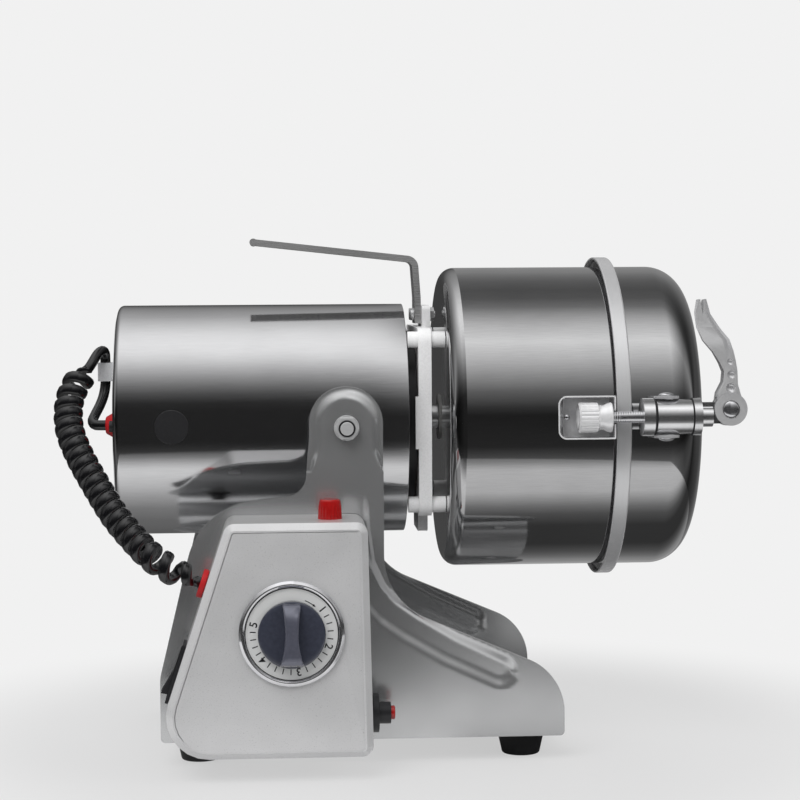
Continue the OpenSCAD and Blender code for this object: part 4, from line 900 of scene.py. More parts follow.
@dataclass
class Studio:
    """The camera, the floor, the lamps and the surroundings."""

    eye: Point = (-50.8, -1443.0, 308.0)
    aim: Point = (39.8, 0.0, 224.4)
    lens: float = 97.0
    sensor: float = 36.0
    clip_start: float = 0.05
    roll: float = -0.35
    pale: float = 0.88
    ambient: float = 0.56
    lamp_aim: Point = (0.0, 0.0, 0.15)
    lamps: tuple[tuple[str, Point, float, float], ...] = (
        ("key_lamp", (-0.7, -1.4, 1.7), 1.4, 26.0), ("fill_lamp", (1.6, -0.9, 1.2), 1.2, 7.0),
        ("back_lamp", (0.2, 1.4, 1.8), 1.4, 10.0))
    floor_radius: float = 0.44
    floor_corners: int = 96
    floor_colour: Colour = (0.60, 0.60, 0.605)
    floor_roughness: float = 0.5
    floor_specular: float = 0.3
    floor_fade: Pair = (0.22, 0.42)
    floor_glow: float = 0.6
    floor_side: Pair = (0.015, 0.045)
    floor_reach: float = 0.5
    # painted shade: grey levels along Y of the floor that the metal mirrors, under the motor and under the bowl
    floor_under_motor: tuple[Pair, ...] = (
        (-0.5, 0.05), (-0.41, 0.12), (-0.333, 0.32), (-0.275, 0.65), (-0.229, 0.93), (-0.19, 0.95),
        (-0.127, 0.76), (-0.073, 0.50), (-0.018, 0.29), (0.053, 0.20), (0.254, 0.13), (0.5, 0.2))
    floor_under_bowl: tuple[Pair, ...] = (
        (-0.5, 0.12), (-0.384, 0.42), (-0.315, 0.82), (-0.264, 0.84), (-0.187, 0.77),
        (-0.155, 0.51), (-0.127, 0.28), (-0.10, 0.14), (-0.06, 0.06), (0.014, 0.056), (0.06, 0.13),
        (0.144, 0.34), (0.5, 0.6))
    screen_side: Pair = (0.05, 0.08)
    screen_ends: Pair = (0.3, 0.8)
    screen_end_share: float = 0.3
    screen_reach: float = 180.0
    motor_screens: tuple[Pair, ...] = (
        (-180, 0.05), (-150, 0.12), (-60, 0.45), (-42, 0.20), (-30, 0.05), (-20, 0.02), (12, 0.02),
        (20, 0.03), (29, 0.10), (37, 0.22), (46, 0.40), (55, 0.63), (64, 0.88), (74, 1.08),
        (85, 1.13), (97, 1.04), (111, 0.80), (128, 0.50), (152, 0.27), (168, 0.08), (180, 0.05))
    bowl_screens: tuple[Pair, ...] = (
        (-180, 0.30), (-140, 0.20), (-90, 0.06), (-60, 0.30), (-36, 0.20), (-27, 0.09), (-20, 0.03),
        (4, 0.02), (10, 0.05), (22, 0.18), (35, 0.46), (48, 0.80), (62, 1.10), (78, 0.74),
        (95, 0.24), (105, 0.14), (116, 0.12), (130, 0.17), (150, 0.30), (180, 0.30))

    def build_camera(self) -> None:
        """Sets the camera up."""
        data = bpy.data.cameras.new("camera")
        data.lens = self.lens
        data.sensor_width = self.sensor
        data.clip_start = self.clip_start
        camera = bpy.data.objects.new("camera", data)
        bpy.context.collection.objects.link(camera)
        eye, aim = STAND_FRAME @ Vector(self.eye), STAND_FRAME @ Vector(self.aim)
        tilt = Matrix.Rotation(math.radians(self.roll), 4, "Z")
        camera.matrix_world = self._aimed(eye, aim) @ tilt
        bpy.context.scene.camera = camera
        log.info("camera set")

    @staticmethod
    def _aimed(eye: Vector, aim: Vector) -> Matrix:
        """Gives the place of a camera or lamp at the eye that looks at the aim."""
        turn = (aim - eye).to_track_quat("-Z", "Y").to_matrix().to_4x4()
        return Matrix.Translation(eye) @ turn

    def build(self) -> None:
        """Builds the floor, the lamps and the world."""
        self._floor()
        for lamp in self.lamps:
            self._lamp(*lamp)
        self._world()
        bpy.context.scene.view_settings.view_transform = "Standard"
        log.info("studio set")

    def _lamp(self, name: str, place: Point, size: float, watts: float) -> None:
        """Adds a soft square lamp that points at the mill and that no metal mirrors.

        Args:
            name: The lamp's name.
            place: Where it stands, in metres.
            size: The length of its sides.
            watts: Its power.
        """
        data = bpy.data.lights.new(name, "AREA")
        data.size = size
        data.energy = watts
        lamp = bpy.data.objects.new(name, data)
        bpy.context.collection.objects.link(lamp)
        lamp.matrix_world = self._aimed(Vector(place), Vector(self.lamp_aim))
        lamp.visible_glossy = False

    def _floor(self) -> None:
        """Lays the pale floor, which fades into the background towards its rim."""
        deselect()
        bpy.ops.mesh.primitive_circle_add(vertices=self.floor_corners, radius=self.floor_radius,
                                          fill_type="NGON", location=(0.0, 0.0, 0.0))
        floor = bpy.context.object
        floor.name = "floor"
        mat = bpy.data.materials.new("pale_floor")
        mat.use_nodes = True
        nodes = Nodes(mat.node_tree)
        place = nodes.add("TexCoord").outputs["Object"]
        radius = nodes.add("VectorMath", {0: place}, operation="LENGTH").outputs["Value"]
        fade = nodes.spread(radius, self.floor_fade, (self.floor_glow, 1.0), "SMOOTHSTEP")
        rays = nodes.add("LightPath").outputs
        mirrored = nodes.maths("MAXIMUM", rays["Is Glossy Ray"], rays["Is Transmission Ray"])
        faded = nodes.maths("MULTIPLY", rays["Is Camera Ray"], fade)
        seen = nodes.maths("MAXIMUM", faded, mirrored)
        # mirror rays see the floor with a painted shade, darkest under the mill
        level = nodes.blend(mirrored, WHITE, self._floor_shade(nodes, place))
        glow = nodes.add("Emission", {"Color": level, "Strength": self.pale}).outputs["Emission"]
        shader = mat.node_tree.nodes["Principled BSDF"]
        nodes.fill(shader, {"Base Color": (*self.floor_colour, 1.0), "Roughness": self.floor_roughness,
                            "Specular IOR Level": self.floor_specular})
        mix = nodes.add("MixShader", {"Fac": seen, 1: shader.outputs["BSDF"], 2: glow})
        nodes.fill(mat.node_tree.nodes["Material Output"], {"Surface": mix.outputs["Shader"]})
        floor.data.materials.append(mat)

    def _floor_shade(self, nodes: Nodes, place: Socket) -> Socket:
        """Paints the shade on the floor that the metal mirrors, darkest under the mill.

        Args:
            nodes: The floor's nodes.
            place: The floor's Object coordinates.

        Returns:
            The shade's colour socket.
        """
        split = nodes.add("SeparateXYZ", {"Vector": place}).outputs
        side = nodes.spread(split["X"], self.floor_side, (0.0, 1.0), "SMOOTHSTEP")
        shades = [self._ramp(nodes, split["Y"], stops, self.floor_reach)
                  for stops in (self.floor_under_motor, self.floor_under_bowl)]
        return nodes.blend(side, *shades)

    def _world(self) -> None:
        """Sets the pale backdrop and the bright and dark screens that the metal mirrors."""
        world = bpy.data.worlds.new("studio_world")
        bpy.context.scene.world = world
        world.use_nodes = True
        world.node_tree.nodes.clear()
        nodes = Nodes(world.node_tree)
        rays = nodes.add("LightPath").outputs
        split = nodes.add("SeparateXYZ", {"Vector": nodes.add("TexCoord").outputs["Generated"]}).outputs
        facing = nodes.maths("MULTIPLY", split["Y"], -1.0)
        height = nodes.maths("DEGREES", nodes.maths("ARCTAN2", split["Z"], facing))
        side = nodes.spread(split["X"], self.screen_side, (0.0, 1.0), "SMOOTHSTEP")
        screen = nodes.blend(side, *(self._ramp(nodes, height, stops, self.screen_reach)
                                     for stops in (self.motor_screens, self.bowl_screens)))
        off_middle = nodes.maths("ABSOLUTE", split["X"])
        dim = nodes.spread(off_middle, self.screen_ends, (1.0, self.screen_end_share))
        dimmed = nodes.add("VectorMath", {0: screen, "Scale": dim}, operation="SCALE")
        screens = nodes.add("Background", {"Color": dimmed.outputs["Vector"], "Strength": 1.0})
        plain = nodes.add("Background", {"Color": WHITE, "Strength": self.ambient})
        pale = nodes.add("Background", {"Color": WHITE, "Strength": self.pale})
        seen = plain
        for ray, shown in (("Is Glossy Ray", screens), ("Is Transmission Ray", pale),
                           ("Is Camera Ray", pale)):
            seen = nodes.add("MixShader", {"Fac": rays[ray], 1: seen.outputs[0], 2: shown.outputs[0]})
        nodes.add("OutputWorld", {"Surface": seen.outputs[0]})

    @staticmethod
    def _ramp(nodes: Nodes, value: Socket, stops: Sequence[Pair], reach: float) -> Socket:
        """Adds a grey ramp over a value that runs from minus its reach to its reach.

        Args:
            nodes: The nodes to add to.
            value: The value to read.
            stops: Each stop's place and grey level, from the lowest place to the highest.
            reach: The greatest place.

        Returns:
            The ramp's colour socket.
        """
        share = nodes.spread(value, (-reach, reach), (0.0, 1.0))
        ramp_node = nodes.add("ValToRGB", {"Fac": share})
        elements = ramp_node.color_ramp.elements
        for at, _ in stops[1:-1]:
            elements.new((at + reach) / (2 * reach))
        for element, (at, level) in zip(elements, stops):
            element.position = (at + reach) / (2 * reach)
            element.color = (level, level, level, 1.0)
        return ramp_node.outputs["Color"]


# ---------------------------------------------------------------- cord


@dataclass
class CurlyCord:
    """The curly cord from the box to the motor, and its plain end over the clip."""

    curl_route: tuple[Point, ...] = (
        (-91.55, -124.5, 120.66), (-101.05, -124.5, 123.79), (-107.0, -124.5, 127.5),
        (-120.0, -118.5, 135.0), (-132.0, -106.0, 145.0), (-145.0, -94.0, 159.0),
        (-158.0, -81.0, 178.0), (-169.0, -69.0, 196.0), (-175.5, -60.0, 212.0),
        (-176.0, -52.0, 228.0), (-171.5, -46.0, 240.0), (-165.0, -41.0, 248.5))
    lead_route: tuple[Point, ...] = (
        (-165.0, -41.0, 248.5), (-163.5, -39.9, 250.4), (-161.6, -37.4, 253.6),
        (-159.2, -32.5, 257.8), (-156.6, -27.0, 260.0), (-155.2, -22.5, 258.6),
        (-155.0, -20.0, 254.0), (-155.0, -20.0, 240.0), (-156.0, -23.0, 231.5),
        (-158.0, -29.5, 225.0), (-160.4, -38.0, 219.6), (-161.8, -45.5, 215.6),
        (-160.0, -50.6, 213.3), (-155.6, -52.0, 213.0), (-153.0, -52.0, 213.0))
    cord_d: float = 6.6
    curl_r: float = 6.5
    pitches: tuple[Pair, ...] = (
        (0.0, 18.0), (0.07, 14.0), (0.16, 11.5), (0.28, 8.6), (0.40, 7.6), (0.82, 7.6),
        (0.92, 9.0), (1.0, 12.0))
    plain_start: float = 0.012
    lead_in: float = 0.05
    lead_out: float = 0.035
    steps: int = 20
    ring_sides: int = 12
    ring_wide: float = 1.06
    ring_high: float = 0.90
    ring_round: float = 0.7
    lead_step: float = 1.6
    lead_sides: int = 14
    length_curl: float = 0.877
    length_lead: float = 0.096

    def build(self) -> None:
        self._curl()
        self._lead()

    def _curl(self) -> None:
        """Winds the curly stretch along its route."""
        route = smooth_line(self.curl_route, 1.0)
        frames = line_frames(route, Vector((0.0, 1.0, 0.0)))
        rings, centres, phase, spot = [], [], 0.0, 0.0
        while spot < len(route) - 1:
            share = spot / (len(route) - 1)
            ease = max(0.0, min(1.0, (share - self.plain_start) / self.lead_in,
                                (1.0 - share) / self.lead_out))
            swell = ease * ease * (3 - 2 * ease)
            at = min(int(spot), len(route) - 2)
            middle = route[at].lerp(route[at + 1], spot - at)
            along, up, side = frames[at]
            out = math.cos(phase) * up + math.sin(phase) * side
            turn = math.cos(phase) * side - math.sin(phase) * up
            centre = middle + out * self.curl_r * swell
            centres.append(centre)
            pitch = self._pitch(share)
            lean = pitch / (2 * math.pi * self.curl_r)
            forward = (turn * swell + along * (lean * swell + 1.0 - swell)).normalized()
            across = forward.cross(out).normalized()
            rings.append(self._ring(centre, out, across))
            phase += 2 * math.pi / self.steps
            spot += pitch / self.steps
        rings.append(self._ring(route[-1], out, across))
        centres.append(route[-1])
        curl = tube("curly_cord_wound", rings)
        settle(curl, STAND_FRAME)
        curl.visible_glossy = False
        dress(curl, CORD_RUBBER, None, replaces=["curly_cord"])
        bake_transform(curl)

    def _pitch(self, share: float) -> float:
        """Gives the distance from one turn to the next at a share of the route."""
        for (low, first), (high, last) in zip(self.pitches, self.pitches[1:]):
            if share <= high:
                return first + (last - first) * (share - low) / (high - low)
        return self.pitches[-1][1]

    def _ring(self, centre: Vector, out: Vector, across: Vector) -> list[Vector]:
        """Makes one ring of the cord, a little flattened as a wound cord is.

        Args:
            centre: The ring's middle.
            out: The direction away from the curl's middle line.
            across: The direction along the curl's middle line.

        Returns:
            The ring's points.
        """
        ring = []
        for k in range(self.ring_sides):
            angle = 2 * math.pi * k / self.ring_sides
            c, s = math.cos(angle), math.sin(angle)
            wide = self.cord_d / 2 * self.ring_wide * math.copysign(abs(s) ** self.ring_round, s)
            high = self.cord_d / 2 * self.ring_high * math.copysign(abs(c) ** self.ring_round, c)
            ring.append(centre + out * high + across * wide)
        return ring

    def _lead(self) -> None:
        """Lays the plain stretch over the clip and into the motor."""
        line = smooth_line(self.lead_route, self.lead_step)
        lead = tube("cord_lead_smooth", round_rings(line, self.cord_d / 2, self.lead_sides,
                                                    Vector((0.0, 1.0, 0.0))))
        settle(lead, STAND_FRAME)
        dress(lead, CORD_RUBBER, "mill", replaces=["cord_lead"])


# ---------------------------------------------------------------- stand and control box


def ramp(value: float, low: float, high: float) -> float:
    """Rises smoothly from 0 at low to 1 at high.

    Args:
        value: The place on the ramp.
        low: Where the ramp starts.
        high: Where it ends.

    Returns:
        The height of the ramp, from 0 to 1.
    """
    t = min(1.0, max(0.0, (value - low) / (high - low)))
    return t * t * (3.0 - 2.0 * t)


@dataclass
class Cheek:
    """One pressed cheek: a face with a rim round its head and a groove along its toe."""

    axis_h: float = 213.0
    face: float = 99.0
    thick: float = 4.0
    arm_w: float = 46.0
    arm_rise: float = 25.5
    rear: float = 118.0
    front: float = 137.0
    foot_h: float = 16.0
    toe_h: float = 55.0
    toe_slope: float = 22.9
    shoulder_drop: float = 48.5
    rim_w: float = 7.5
    rim_drop: float = 4.0
    rim_flat: float = 0.6
    rim_start: Pair = (28.5, 12.0)
    groove_depth: float = 2.0
    groove_fade: Pair = (140.0, 178.0)
    floor_half: float = 5.5
    low_wall: float = 6.0
    top_wall: float = 3.2
    edge: float = 0.9
    hard_angle: float = 50.0
    head_drop: float = 32.0
    groove: tuple[Pair, ...] = (
        (4.8, 179.0), (5.0, 150.0), (8.5, 126.0), (16.5, 109.0), (26.5, 97.8), (39.8, 88.4),
        (64.8, 73.7), (92.3, 60.8), (96.5, 58.8))

    def outline(self) -> list[Pair]:
        """Draws the cheek's outline, as the CAD source has it."""
        half = self.arm_w / 2
        slope = math.tan(math.radians(self.toe_slope))
        top = self.axis_h + self.arm_rise
        shoulder = self.axis_h - self.shoulder_drop
        return rounded([
            (-self.rear, self.foot_h, 3.0), (self.front, self.foot_h, 3.0),
            (self.front, self.toe_h, 36.0), (half, self.toe_h + (self.front - half) * slope, 44.0),
            (half, top, half - 0.2), (-half, top, half - 0.2), (-half - 0.5, self.axis_h - 8, 30.0),
            (-half - 3.5, shoulder + 7, 13.0), (-0.78 * self.rear, shoulder, 48.0),
            (-self.rear, self.foot_h + 41, 30.0)], 16)

    def depth(self, x: float, z: float) -> float:
        """Gives how far the pressed face lies behind its highest level.

        Args:
            x: The place in front of the swing axis.
            z: The height above the floor.

        Returns:
            The depth in millimetres.
        """
        half = self.arm_w / 2
        centre = self.axis_h + self.arm_rise - half
        edge = half - (math.hypot(x, z - centre) if z > centre else abs(x))
        width = self.rim_w * ramp(z, *(self.axis_h - below for below in self.rim_start))
        rim = 0.0
        if width > 0.05:
            rim = self.rim_drop * (1.0 - ramp(edge, self.rim_flat, self.rim_flat + width))
        fade = 1.0 - ramp(z, *self.groove_fade)
        return rim + self.groove_depth * fade * self._groove(x, z)

    def _groove(self, x: float, z: float) -> float:
        """Gives the groove's share of its full depth at a place."""
        best = (math.inf, 0.0)
        here = Vector((x, z))
        for (x0, z0), (x1, z1) in zip(self.groove, self.groove[1:]):
            start, run = Vector((x0, z0)), Vector((x1 - x0, z1 - z0))
            t = min(1.0, max(0.0, (here - start).dot(run) / run.length_squared))
            gap = here - (start + run * t)
            side = run.x * gap.y - run.y * gap.x
            if gap.length < best[0]:
                best = (gap.length, side)
        distance, side = best
        wall = self.top_wall if side > 0 else self.low_wall
        return 1.0 - ramp(distance, self.floor_half, self.floor_half + wall)

    def build(self, near: bool) -> None:
        """Builds the cheek on one side.

        Args:
            near: Whether it is the cheek beside the control box.
        """
        name = "near" if near else "far"
        cheek = plate(f"cheek_{name}", self.outline(), self.thick, UPRIGHT)
        self._cut_grid(cheek)
        for vertex in cheek.data.vertices:
            x, y, z = vertex.co
            vertex.co.y = y - (self.face - self.thick) + self.depth(x, z)
        if not near:
            for vertex in cheek.data.vertices:
                vertex.co.y = -vertex.co.y
            cheek.data.flip_normals()
        settle(cheek, STAND_FRAME)
        soften(cheek, self.edge, 3, self.hard_angle)
        dress(cheek, STAND_PAINT, "stand",
              replaces=[f"side_plate_{name}"])

    def _cut_grid(self, cheek: bpy.types.Object) -> None:
        """Cuts the flat plate along a grid, finer where its face is pressed.

        Args:
            cheek: The plate, in millimetres.
        """
        head = self.axis_h - self.head_drop
        columns = [*range(-110, -28, 12), *range(-26, 27), *range(28, 112, 2), 120.0, 128.0]
        rows = [24.0, 34.0, *(44.0 + 2.0 * k for k in range(69)),
                *(head + 1.0 * k for k in range(1, 58))]
        work = bmesh.new()
        work.from_mesh(cheek.data)
        for place, normal in ([((c, 0, 0), (1, 0, 0)) for c in columns]
                              + [((0, 0, r), (0, 0, 1)) for r in rows]):
            bmesh.ops.bisect_plane(work, geom=[*work.verts, *work.edges, *work.faces],
                                   plane_co=place, plane_no=normal, dist=0.001)
        work.to_mesh(cheek.data)
        work.free()


@dataclass
class Stand:
    """The two cheeks, the base pan, the feet and the swing nuts."""

    cheek: Cheek = field(default_factory=Cheek)
    rounded_pieces: tuple[Rounding, ...] = (
        ("base_pan", "base_pan_pressed", 0.7), ("feet", "rubber_feet", 1.2))
    slimmed_pieces: tuple[Rounding, ...] = (
        ("trunnion_nuts", "swing_nuts", 0.7), ("trunnion_studs", "swing_studs", 0.8))
    nut_face: float = 106.4
    nut_seat: float = 98.0
    nut_share: float = 0.83
    # the dark ring between nut and stud, painted shade in the gap: its bore, outer radius and thickness
    shade_ring_bore: float = 4.2
    shade_ring_r: float = 5.3
    shade_ring_t: float = 0.7

    def build(self) -> None:
        """Builds the pressed cheeks and rounds the smaller pieces."""
        self.cheek.build(True)
        self.cheek.build(False)
        for row in self.rounded_pieces:
            refined_copy(*row)
        for row in self.slimmed_pieces:
            self._slim(refined_copy(*row))
        self._shadow_rings()

    def _slim(self, piece: bpy.types.Object) -> None:
        """Slims what stands out of the cheeks round the swing axis."""
        for vertex in piece.data.vertices:
            if abs(vertex.co.y - PIVOT.y) > self.nut_seat * MM:
                vertex.co.x = PIVOT.x + (vertex.co.x - PIVOT.x) * self.nut_share
                vertex.co.z = PIVOT.z + (vertex.co.z - PIVOT.z) * self.nut_share

    def _shadow_rings(self) -> None:
        """Adds a dark ring between each nut and its stud: painted shade in the gap there."""
        rings = []
        for side in (-1, 1):
            ring = turned("shade_ring", rounded([
                (self.shade_ring_bore, 0.0, 0.2), (self.shade_ring_bore, self.shade_ring_t, 0.2),
                (self.shade_ring_r, self.shade_ring_t, 0.3), (self.shade_ring_r, 0.0, 0.2)], 4),
                Matrix.Rotation(-side * math.pi / 2, 4, "Z"), 64)
            ring.location = (0.0, -side * self.nut_face, 0.0)
            apply_place(ring)
            rings.append(ring)
        shade_rings = joined("nut_shade_rings", rings)
        settle(shade_rings, MILL_FRAME)
        close_up(shade_rings)
        dress(shade_rings, CAP_BLACK_AND_SHADE, body_of("trunnion_nuts"))


@dataclass
class ControlBox:
    """The box with its front panel, its lamp, its switch and its reset."""

    rounded_pieces: tuple[Rounding, ...] = (
        ("rocker_housing", "rocker_frame", 0.6), ("power_rocker", "rocker_key", 0.7),
        ("breaker_body", "breaker_shell", 0.5), ("reset_button", "reset_cap", 0.7))
    corner: float = 1.9
    panel_edge: float = 0.35
    joint: float = 0.75
    right_strip: float = 4.0
    foot_strip: float = 12.0
    foot_fade: float = 8.0
    lamp_flutes: int = 20
    lamp_sides: int = 120
    lamp_profile: tuple[Point, ...] = (
        (0.0, 1.0, 0.0), (0.10, 1.0, 0.0), (0.12, 0.96, 0.06), (0.82, 0.86, 0.06),
        (0.90, 0.84, 0.0), (0.97, 0.80, 0.0), (1.0, 0.70, 0.0), (0.99, 0.40, 0.0))

    def build(self) -> None:
        """Rounds the box and dresses its small pieces."""
        refined_copy("box_surround", "box_body", self.corner, 4)
        panel = refined_copy("box_front_panel", "box_panel", self.panel_edge, 2)
        self._close_joint(panel)
        for row in self.rounded_pieces:
            refined_copy(*row)
        self._lamp_cap()

    def _lamp_cap(self) -> None:
        """Models the lamp's tapered cap with its flutes."""
        low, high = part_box("indicator_cap")
        middle = [(a + b) / 2 for a, b in zip(low, high)]
        radius, rings = (high[0] - low[0]) / 2, []
        for share, wide, flute in self.lamp_profile:
            ring = []
            for k in range(self.lamp_sides):
                angle = 2 * math.pi * k / self.lamp_sides
                r = radius * (wide - flute * (0.5 - 0.5 * math.cos(self.lamp_flutes * angle)))
                ring.append(Vector((middle[0] + r * math.cos(angle), middle[1] + r * math.sin(angle),
                                    low[2] + (high[2] - low[2]) * share)))
            rings.append(ring)
        cap = tube("lamp_cap", rings)
        close_up(cap, SOFT_ANGLE)
        dress(cap, SIGNAL_RED, "stand", replaces=["indicator_cap"])

    def _close_joint(self, panel: bpy.types.Object) -> None:
        """Moves the panel's right and bottom edges up to the surround, so that no joint shows."""
        right = max(v.co.x for v in panel.data.vertices) - self.right_strip * MM
        foot = min(v.co.z for v in panel.data.vertices) + self.foot_strip * MM
        for vertex in panel.data.vertices:
            if vertex.co.x > right:
                vertex.co.x += self.joint * MM
            if vertex.co.z < foot:
                share = min(1.0, (foot - vertex.co.z) / (self.foot_fade * MM))
                vertex.co.z -= self.joint * MM * share


@dataclass
class Timer:
    """The dial's marks, the dark ring round the dial with its painted shadow, and the knob with its grip."""

    centre: Point = DIAL_MM
    knob_r: float = 20.5
    knob_edge: float = 0.8
    bezel_edge: float = 0.35
    mark_r: float = 23.5
    tick_wide: float = 0.65
    tick_long: float = 3.6
    ticks_between: int = 4
    digit_size: float = 6.8
    digit_bolder: float = 0.09
    arrow_r: Pair = (21.3, 21.8)
    arrow_head_r: Point = (21.6, 20.8, 22.4)
    arrow_angles: Pair = (22.0, 38.0)
    arrow_tip: float = 5.0
    arrow_back: float = 1.0
    arrow_steps: int = 8
    # the dark ring round the dial: a thin gap, widened at the top by a painted shadow of the bezel
    gap_and_shadow_r: float = 28.5
    gap_and_shadow_share: float = 0.978
    gap_and_shadow_shift: float = 0.35
    gap_and_shadow_steps: int = 96
    digit_angles: dict[str, float] = field(default_factory=lambda: {
        "1": 52.0, "2": 110.0, "3": 170.0, "4": 228.0, "5": 284.0})
    dial_face: float = 1.3
    ink_t: float = 0.06
    skirt_t: float = 5.6
    skirt_middle: float = 5.0
    skirt_steps: tuple[Pair, ...] = ((1.4, 0.5), (2.2, 0.2), (5.0, 0.0))
    grip_base: float = 7.0
    grip_under: float = 4.9
    grip_step: float = 1.1
    grip_edge: float = 1.8
    grip_edge_share: float = 0.45
    grip_half_wide: float = 1.02
    grip_foot_wide: float = 1.12
    grip_sunk: float = 1.0
    grip_line: tuple[Point, ...] = (
        (19.2, 5.0, 0.10), (18.2, 5.4, 0.34), (16.0, 5.2, 0.62), (13.0, 4.8, 0.86),
        (10.0, 4.5, 0.97), (6.0, 4.2, 1.0), (0.0, 4.0, 1.0), (-7.0, 4.6, 1.0), (-13.0, 5.8, 0.98),
        (-16.4, 6.8, 0.86), (-18.2, 7.3, 0.50), (-18.7, 7.2, 0.12))

    def _face_frame(self) -> Matrix:
        """Gives the dial's frame: X to the right, Y up and Z out of the dial."""
        return STAND_FRAME @ Matrix.Translation(self.centre) @ UPRIGHT

    def build(self) -> None:
        """Builds the marks and the knob."""
        self._marks()
        self._knob()
        refined_copy("timer_bezel", "timer_bezel_ring", self.bezel_edge)

    def _marks(self) -> None:
        """Prints the ticks, the numbers and the arrow on the dial, and adds the dark ring round it with its
        painted shadow.
        """
        parts = []
        places = sorted(self.digit_angles.values())
        count = self.ticks_between + 1
        for first, last in zip(places, places[1:]):
            for k in range(1, count):
                parts.append(self._tick(first + (last - first) * k / count))
        for digit, angle in self.digit_angles.items():
            parts.append(self._digit(digit, angle))
        parts.append(self._arrow())
        parts.append(self._gap_and_painted_shadow())
        marks = joined("dial_marks_and_shadow", parts)
        settle(marks, self._face_frame() @ Matrix.Translation((0.0, 0.0, self.dial_face)))
        dress(marks, DIAL_INK_AND_SHADOW, "stand")

    def _tick(self, angle: float) -> bpy.types.Object:
        """Makes one tick at an angle clockwise from the top."""
        deselect()
        bpy.ops.mesh.primitive_cube_add(size=1.0)
        tick = bpy.context.object
        with editing(tick):
            bpy.ops.transform.resize(value=(self.tick_wide, self.tick_long, self.ink_t))
            bpy.ops.transform.translate(value=(0.0, self.mark_r, self.ink_t / 2))
        tick.rotation_euler = (0.0, 0.0, -math.radians(angle))
        apply_place(tick)
        return tick

    def _digit(self, digit: str, angle: float) -> bpy.types.Object:
        """Makes one number, which stands with its top outwards."""
        deselect()
        bpy.ops.object.text_add()
        text = bpy.context.object
        text.data.body = digit
        text.data.size = self.digit_size
        text.data.offset = self.digit_bolder
        text.data.align_x = "CENTER"
        text.data.align_y = "CENTER"
        text.data.extrude = self.ink_t / 2
        bpy.ops.object.convert(target="MESH")
        text = bpy.context.object
        turn = Matrix.Rotation(-math.radians(angle), 4, "Z")
        settle(text, turn @ Matrix.Translation((0.0, self.mark_r, self.ink_t / 2)))
        return text

    def _arrow(self) -> bpy.types.Object:
        """Makes the small curved arrow from the top towards the first number."""
        inner, outer = self.arrow_r
        start, end = self.arrow_angles
        steps = self.arrow_steps
        points = []
        for radius, span in ((inner, range(steps + 1)), (outer, range(steps, -1, -1))):
            points += [clock_point(radius, start + (end - start) * k / steps) for k in span]
        bow = plate("arrow_bow", points[::-1], self.ink_t, AS_DRAWN)
        middle, low, high = self.arrow_head_r
        head = [clock_point(middle, end + self.arrow_tip), clock_point(low, end - self.arrow_back),
                clock_point(high, end - self.arrow_back)]
        point = plate("arrow_head", head, self.ink_t, AS_DRAWN)
        return joined("arrow", [bow, point])

    def _gap_and_painted_shadow(self) -> bpy.types.Object:
        """Makes the dark ring round the dial: a thin gap all round, widened at the top by a painted shadow of the
        bezel.
        """
        steps, share = self.gap_and_shadow_steps, self.gap_and_shadow_share
        points = [clock_point(self.gap_and_shadow_r, 360 * k / steps) for k in range(steps)]
        ring = mesh_piece("gap", [Vector((x, y, 0.0)) for x, y in points]
                          + [Vector((x * share, y * share - self.gap_and_shadow_shift, 0.0)) for x, y in points],
                          [[k, k + steps, (k + 1) % steps + steps, (k + 1) % steps]
                           for k in range(steps)])
        raise_flat(ring, self.ink_t)
        return ring

    def _knob(self) -> None:
        """Models the knob's skirt and its waisted grip."""
        face = self._face_frame()
        deselect()
        bpy.ops.mesh.primitive_cylinder_add(vertices=64, radius=self.knob_r, depth=self.skirt_t,
                                            location=(0.0, 0.0, self.skirt_middle))
        skirt = bpy.context.object
        with editing(skirt):
            work = bmesh.from_edit_mesh(skirt.data)
            for part in (*work.verts, *work.edges, *work.faces):
                part.select = False
            top = next(f for f in work.faces if f.normal.z > 0.9)
            top.select = True
            bmesh.update_edit_mesh(skirt.data)
            for inset, rise in self.skirt_steps:
                bpy.ops.mesh.inset(thickness=inset)
                if rise:
                    bpy.ops.transform.translate(value=(0.0, 0.0, rise))
        settle(skirt, face)
        skirt.name = "knob_skirt"
        soften(skirt, self.knob_edge)
        dress(skirt, SMOKED_BLUE, "knob", replaces=["timer_knob"])
        grip = tube("knob_grip", self._grip_rings())
        settle(grip, face @ Matrix.Translation((0.0, 0.0, self.grip_base)))
        close_up(grip)
        dress(grip, RIDGE_BLUE, "knob")

    def _grip_rings(self) -> list[list[Vector]]:
        """Gives the grip's cross-sections: waisted, with sloped ends and rounded edges.

        Returns:
            The rings, from the pointer end to the wide end.
        """
        low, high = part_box("timer_knob")
        full = abs(low[1] - high[1]) / MM - self.grip_under
        line = smooth_line([(w, y, h * full) for y, w, h in self.grip_line], self.grip_step)
        rings = []
        for wide, y, high in line:
            edge = min(self.grip_edge, wide * self.grip_edge_share, high * self.grip_edge_share)
            foot, half = wide * self.grip_foot_wide, wide * self.grip_half_wide
            ring = [Vector((-foot, y, -self.grip_sunk)), Vector((-half, y, high / 2))]
            for side, steps in ((-1, range(6)), (1, range(5, -1, -1))):
                for k in steps:
                    a = math.pi / 2 * k / 5
                    ring.append(Vector((side * (wide - edge + edge * math.cos(a)), y,
                                        high - edge + edge * math.sin(a))))
            ring += [Vector((half, y, high / 2)), Vector((foot, y, -self.grip_sunk))]
            rings.append(ring)
        return rings


# ---------------------------------------------------------------- motor, casting and chamber


